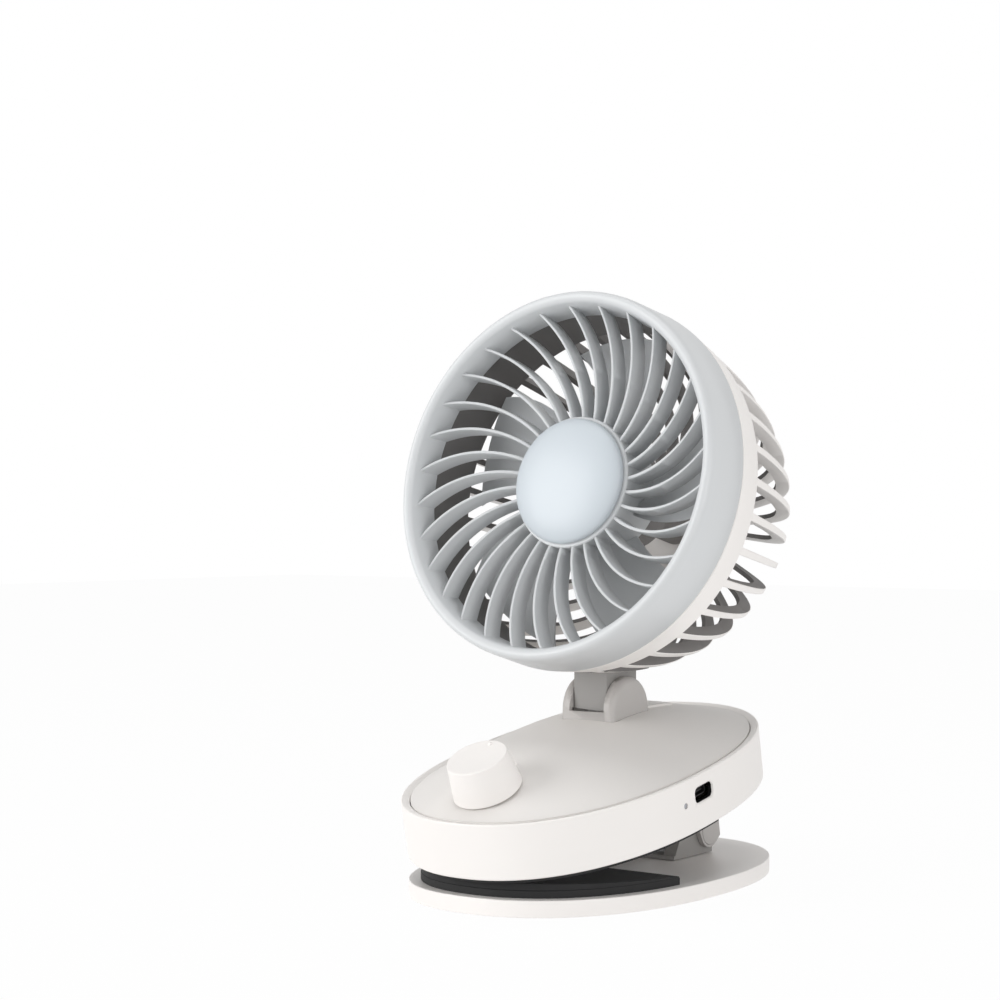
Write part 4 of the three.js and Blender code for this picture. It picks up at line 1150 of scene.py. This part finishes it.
# ---------------------------------------------------------------- pieces that keep their CAD shape
class FAN_OT_carried_pieces(bpy.types.Operator):
    """Gives the pieces that keep their own shape their finishes"""

    bl_idname = "clip_fan.carried_pieces"
    bl_label = "Carried pieces"

    def execute(self, context):
        looks = {
            # the bracket takes the darker grey as painted shade
            "hinge": ("hinge_bracket",),
            "fork": ("base_floor", "pin_cap_right", "pin_cap_left"),
            "steel": ("hinge_pin", "spring_pin", "tilt_axle", "knob_shaft", "motor_can", "motor_shaft",
                      "bracket_screw_", "floor_screw_"),
            "port": ("usb_socket", "speed_switch"),
            # the lamp's grey is darkened as painted shade for its hole
            "lamp": ("charge_lamp",),
            "board": ("circuit_board",),
            "cell": ("battery_cell_",),
        }
        for look, starts in looks.items():
            for name, node in frame["nodes"].items():
                if name.startswith(starts):
                    paint(node, look)
        return {"FINISHED"}


# ---------------------------------------------------------------- stage
class FAN_OT_stage(bpy.types.Operator):
    """Sets the floor, the studio light and the camera"""

    bl_idname = "clip_fan.stage"
    bl_label = "Stage"

    def execute(self, context):
        self.camera(context.scene)
        self.floor()
        self.world(context.scene)
        self.lamps(context.scene)
        context.scene.view_settings.view_transform = "Standard"
        return {"FINISHED"}

    def camera(self, scene):
        """The photograph's view, found from the outlines of the base and the head."""
        azimuth, elevation, distance = math.radians(35.1), math.radians(3.0), 0.7995
        pixels_per_metre = 2577
        centre_x, centre_y = 595.04, 623.7  # pixels, where the aim lies in the photograph
        aim = Vector((0, 0, 0.1))
        back = Vector((math.sin(azimuth) * math.cos(elevation), -math.cos(azimuth) * math.cos(elevation),
                       math.sin(elevation)))
        eye = bpy.data.cameras.new("photo view")
        eye.sensor_width = 36
        eye.lens = eye.sensor_width * pixels_per_metre * distance / PHOTO_WIDTH
        eye.shift_x = (PHOTO_WIDTH / 2 - centre_x) / PHOTO_WIDTH
        eye.shift_y = (centre_y - PHOTO_WIDTH / 2) / PHOTO_WIDTH
        camera = bpy.data.objects.new("photo view", eye)
        camera.location = aim + back * distance
        camera.rotation_euler = back.to_track_quat("Z", "Y").to_euler()
        scene.collection.objects.link(camera)
        scene.camera = camera

    def floor(self):
        """A white floor that keeps the object's shadow, because only a share of its white is its own light."""
        nodes = Surface("studio floor")
        nodes.finish(Base_Color=rgba((0.86, 0.86, 0.86)), Roughness=0.8)
        glow = nodes.add("ShaderNodeEmission", inputs={"Color": WHITE, "Strength": 1.0})
        share = nodes.shown_ray() * (FLOOR_SHOWN - FLOOR_GLOW) + FLOOR_GLOW
        blend = nodes.add("ShaderNodeMixShader", inputs={0: share, 1: Value(nodes, nodes.shader.outputs[0]), 2: glow})
        nodes.feed(nodes.tree.nodes["Material Output"].inputs[0], blend)
        size = 3.0
        corners = [(-size, -size, 0), (size, -size, 0), (size, size, 0), (-size, size, 0)]
        floor = solid("studio_floor", (corners, [(0, 1, 2, 3)]))
        floor.data.materials.append(nodes.material)

    def world(self, scene):
        """A white world, weaker where it lights the object than where it is seen."""
        world = bpy.data.worlds.new("studio")
        world.use_nodes = True
        nodes = Nodes(world.node_tree)
        background = nodes.tree.nodes["Background"]
        nodes.feed(background.inputs["Color"], WHITE)
        nodes.feed(background.inputs["Strength"], nodes.shown_ray() * (1 - WORLD_LIGHT) + WORLD_LIGHT)
        scene.world = world

    def lamps(self, scene):
        """Broad soft lamps: one in front and to the left, one to the right, a weak one above."""
        for name, place, aim, size, power in (
                ("key", (-0.75, -1.0, 0.35), (0, 0, 0.09), 0.9, 10.6),
                ("side", (1.1, -0.35, 0.25), (0, 0, 0.09), 0.8, 6.0),
                ("top", (0.0, -0.1, 1.3), (0, 0, 0.1), 0.8, 4.0)):
            lamp = bpy.data.lights.new(name, "AREA")
            lamp.size = size
            lamp.energy = power
            obj = bpy.data.objects.new(name, lamp)
            obj.location = place
            obj.rotation_euler = (Vector(place) - Vector(aim)).to_track_quat("Z", "Y").to_euler()
            scene.collection.objects.link(obj)


OPERATORS = [FAN_OT_stage, FAN_OT_lower_jaw, FAN_OT_grip_pads, FAN_OT_spring, FAN_OT_base_shell, FAN_OT_lid,
             FAN_OT_knob, FAN_OT_yoke, FAN_OT_neck, FAN_OT_front_ring, FAN_OT_vanes, FAN_OT_hub_cap,
             FAN_OT_rear_housing, FAN_OT_impeller, FAN_OT_carried_pieces]


class FAN_PT_panel(bpy.types.Panel):
    """Lists the fan's sizes, finishes and pieces"""

    bl_idname = "FAN_PT_panel"
    bl_label = "Clip fan"
    bl_space_type = "VIEW_3D"
    bl_region_type = "UI"
    bl_category = "Clip fan"

    def draw(self, context):
        for name, group in GROUPS.items():
            box = self.layout.box()
            box.label(text=group.__doc__)
            for key in group.__annotations__:
                box.prop(getattr(context.scene, name), key)
        for operator in OPERATORS:
            self.layout.operator(operator.bl_idname)


def register():
    for cls in [*GROUPS.values(), *OPERATORS, FAN_PT_panel]:
        bpy.utils.register_class(cls)
    for name, group in GROUPS.items():
        setattr(bpy.types.Scene, name, bpy.props.PointerProperty(type=group))


def unregister():
    for name in GROUPS:
        delattr(bpy.types.Scene, name)
    for cls in reversed([*GROUPS.values(), *OPERATORS, FAN_PT_panel]):
        bpy.utils.unregister_class(cls)


def main():
    register()
    for operator in OPERATORS:
        group, name = operator.bl_idname.split(".")
        getattr(getattr(bpy.ops, group), name)()


if __name__ == "__main__":
    main()
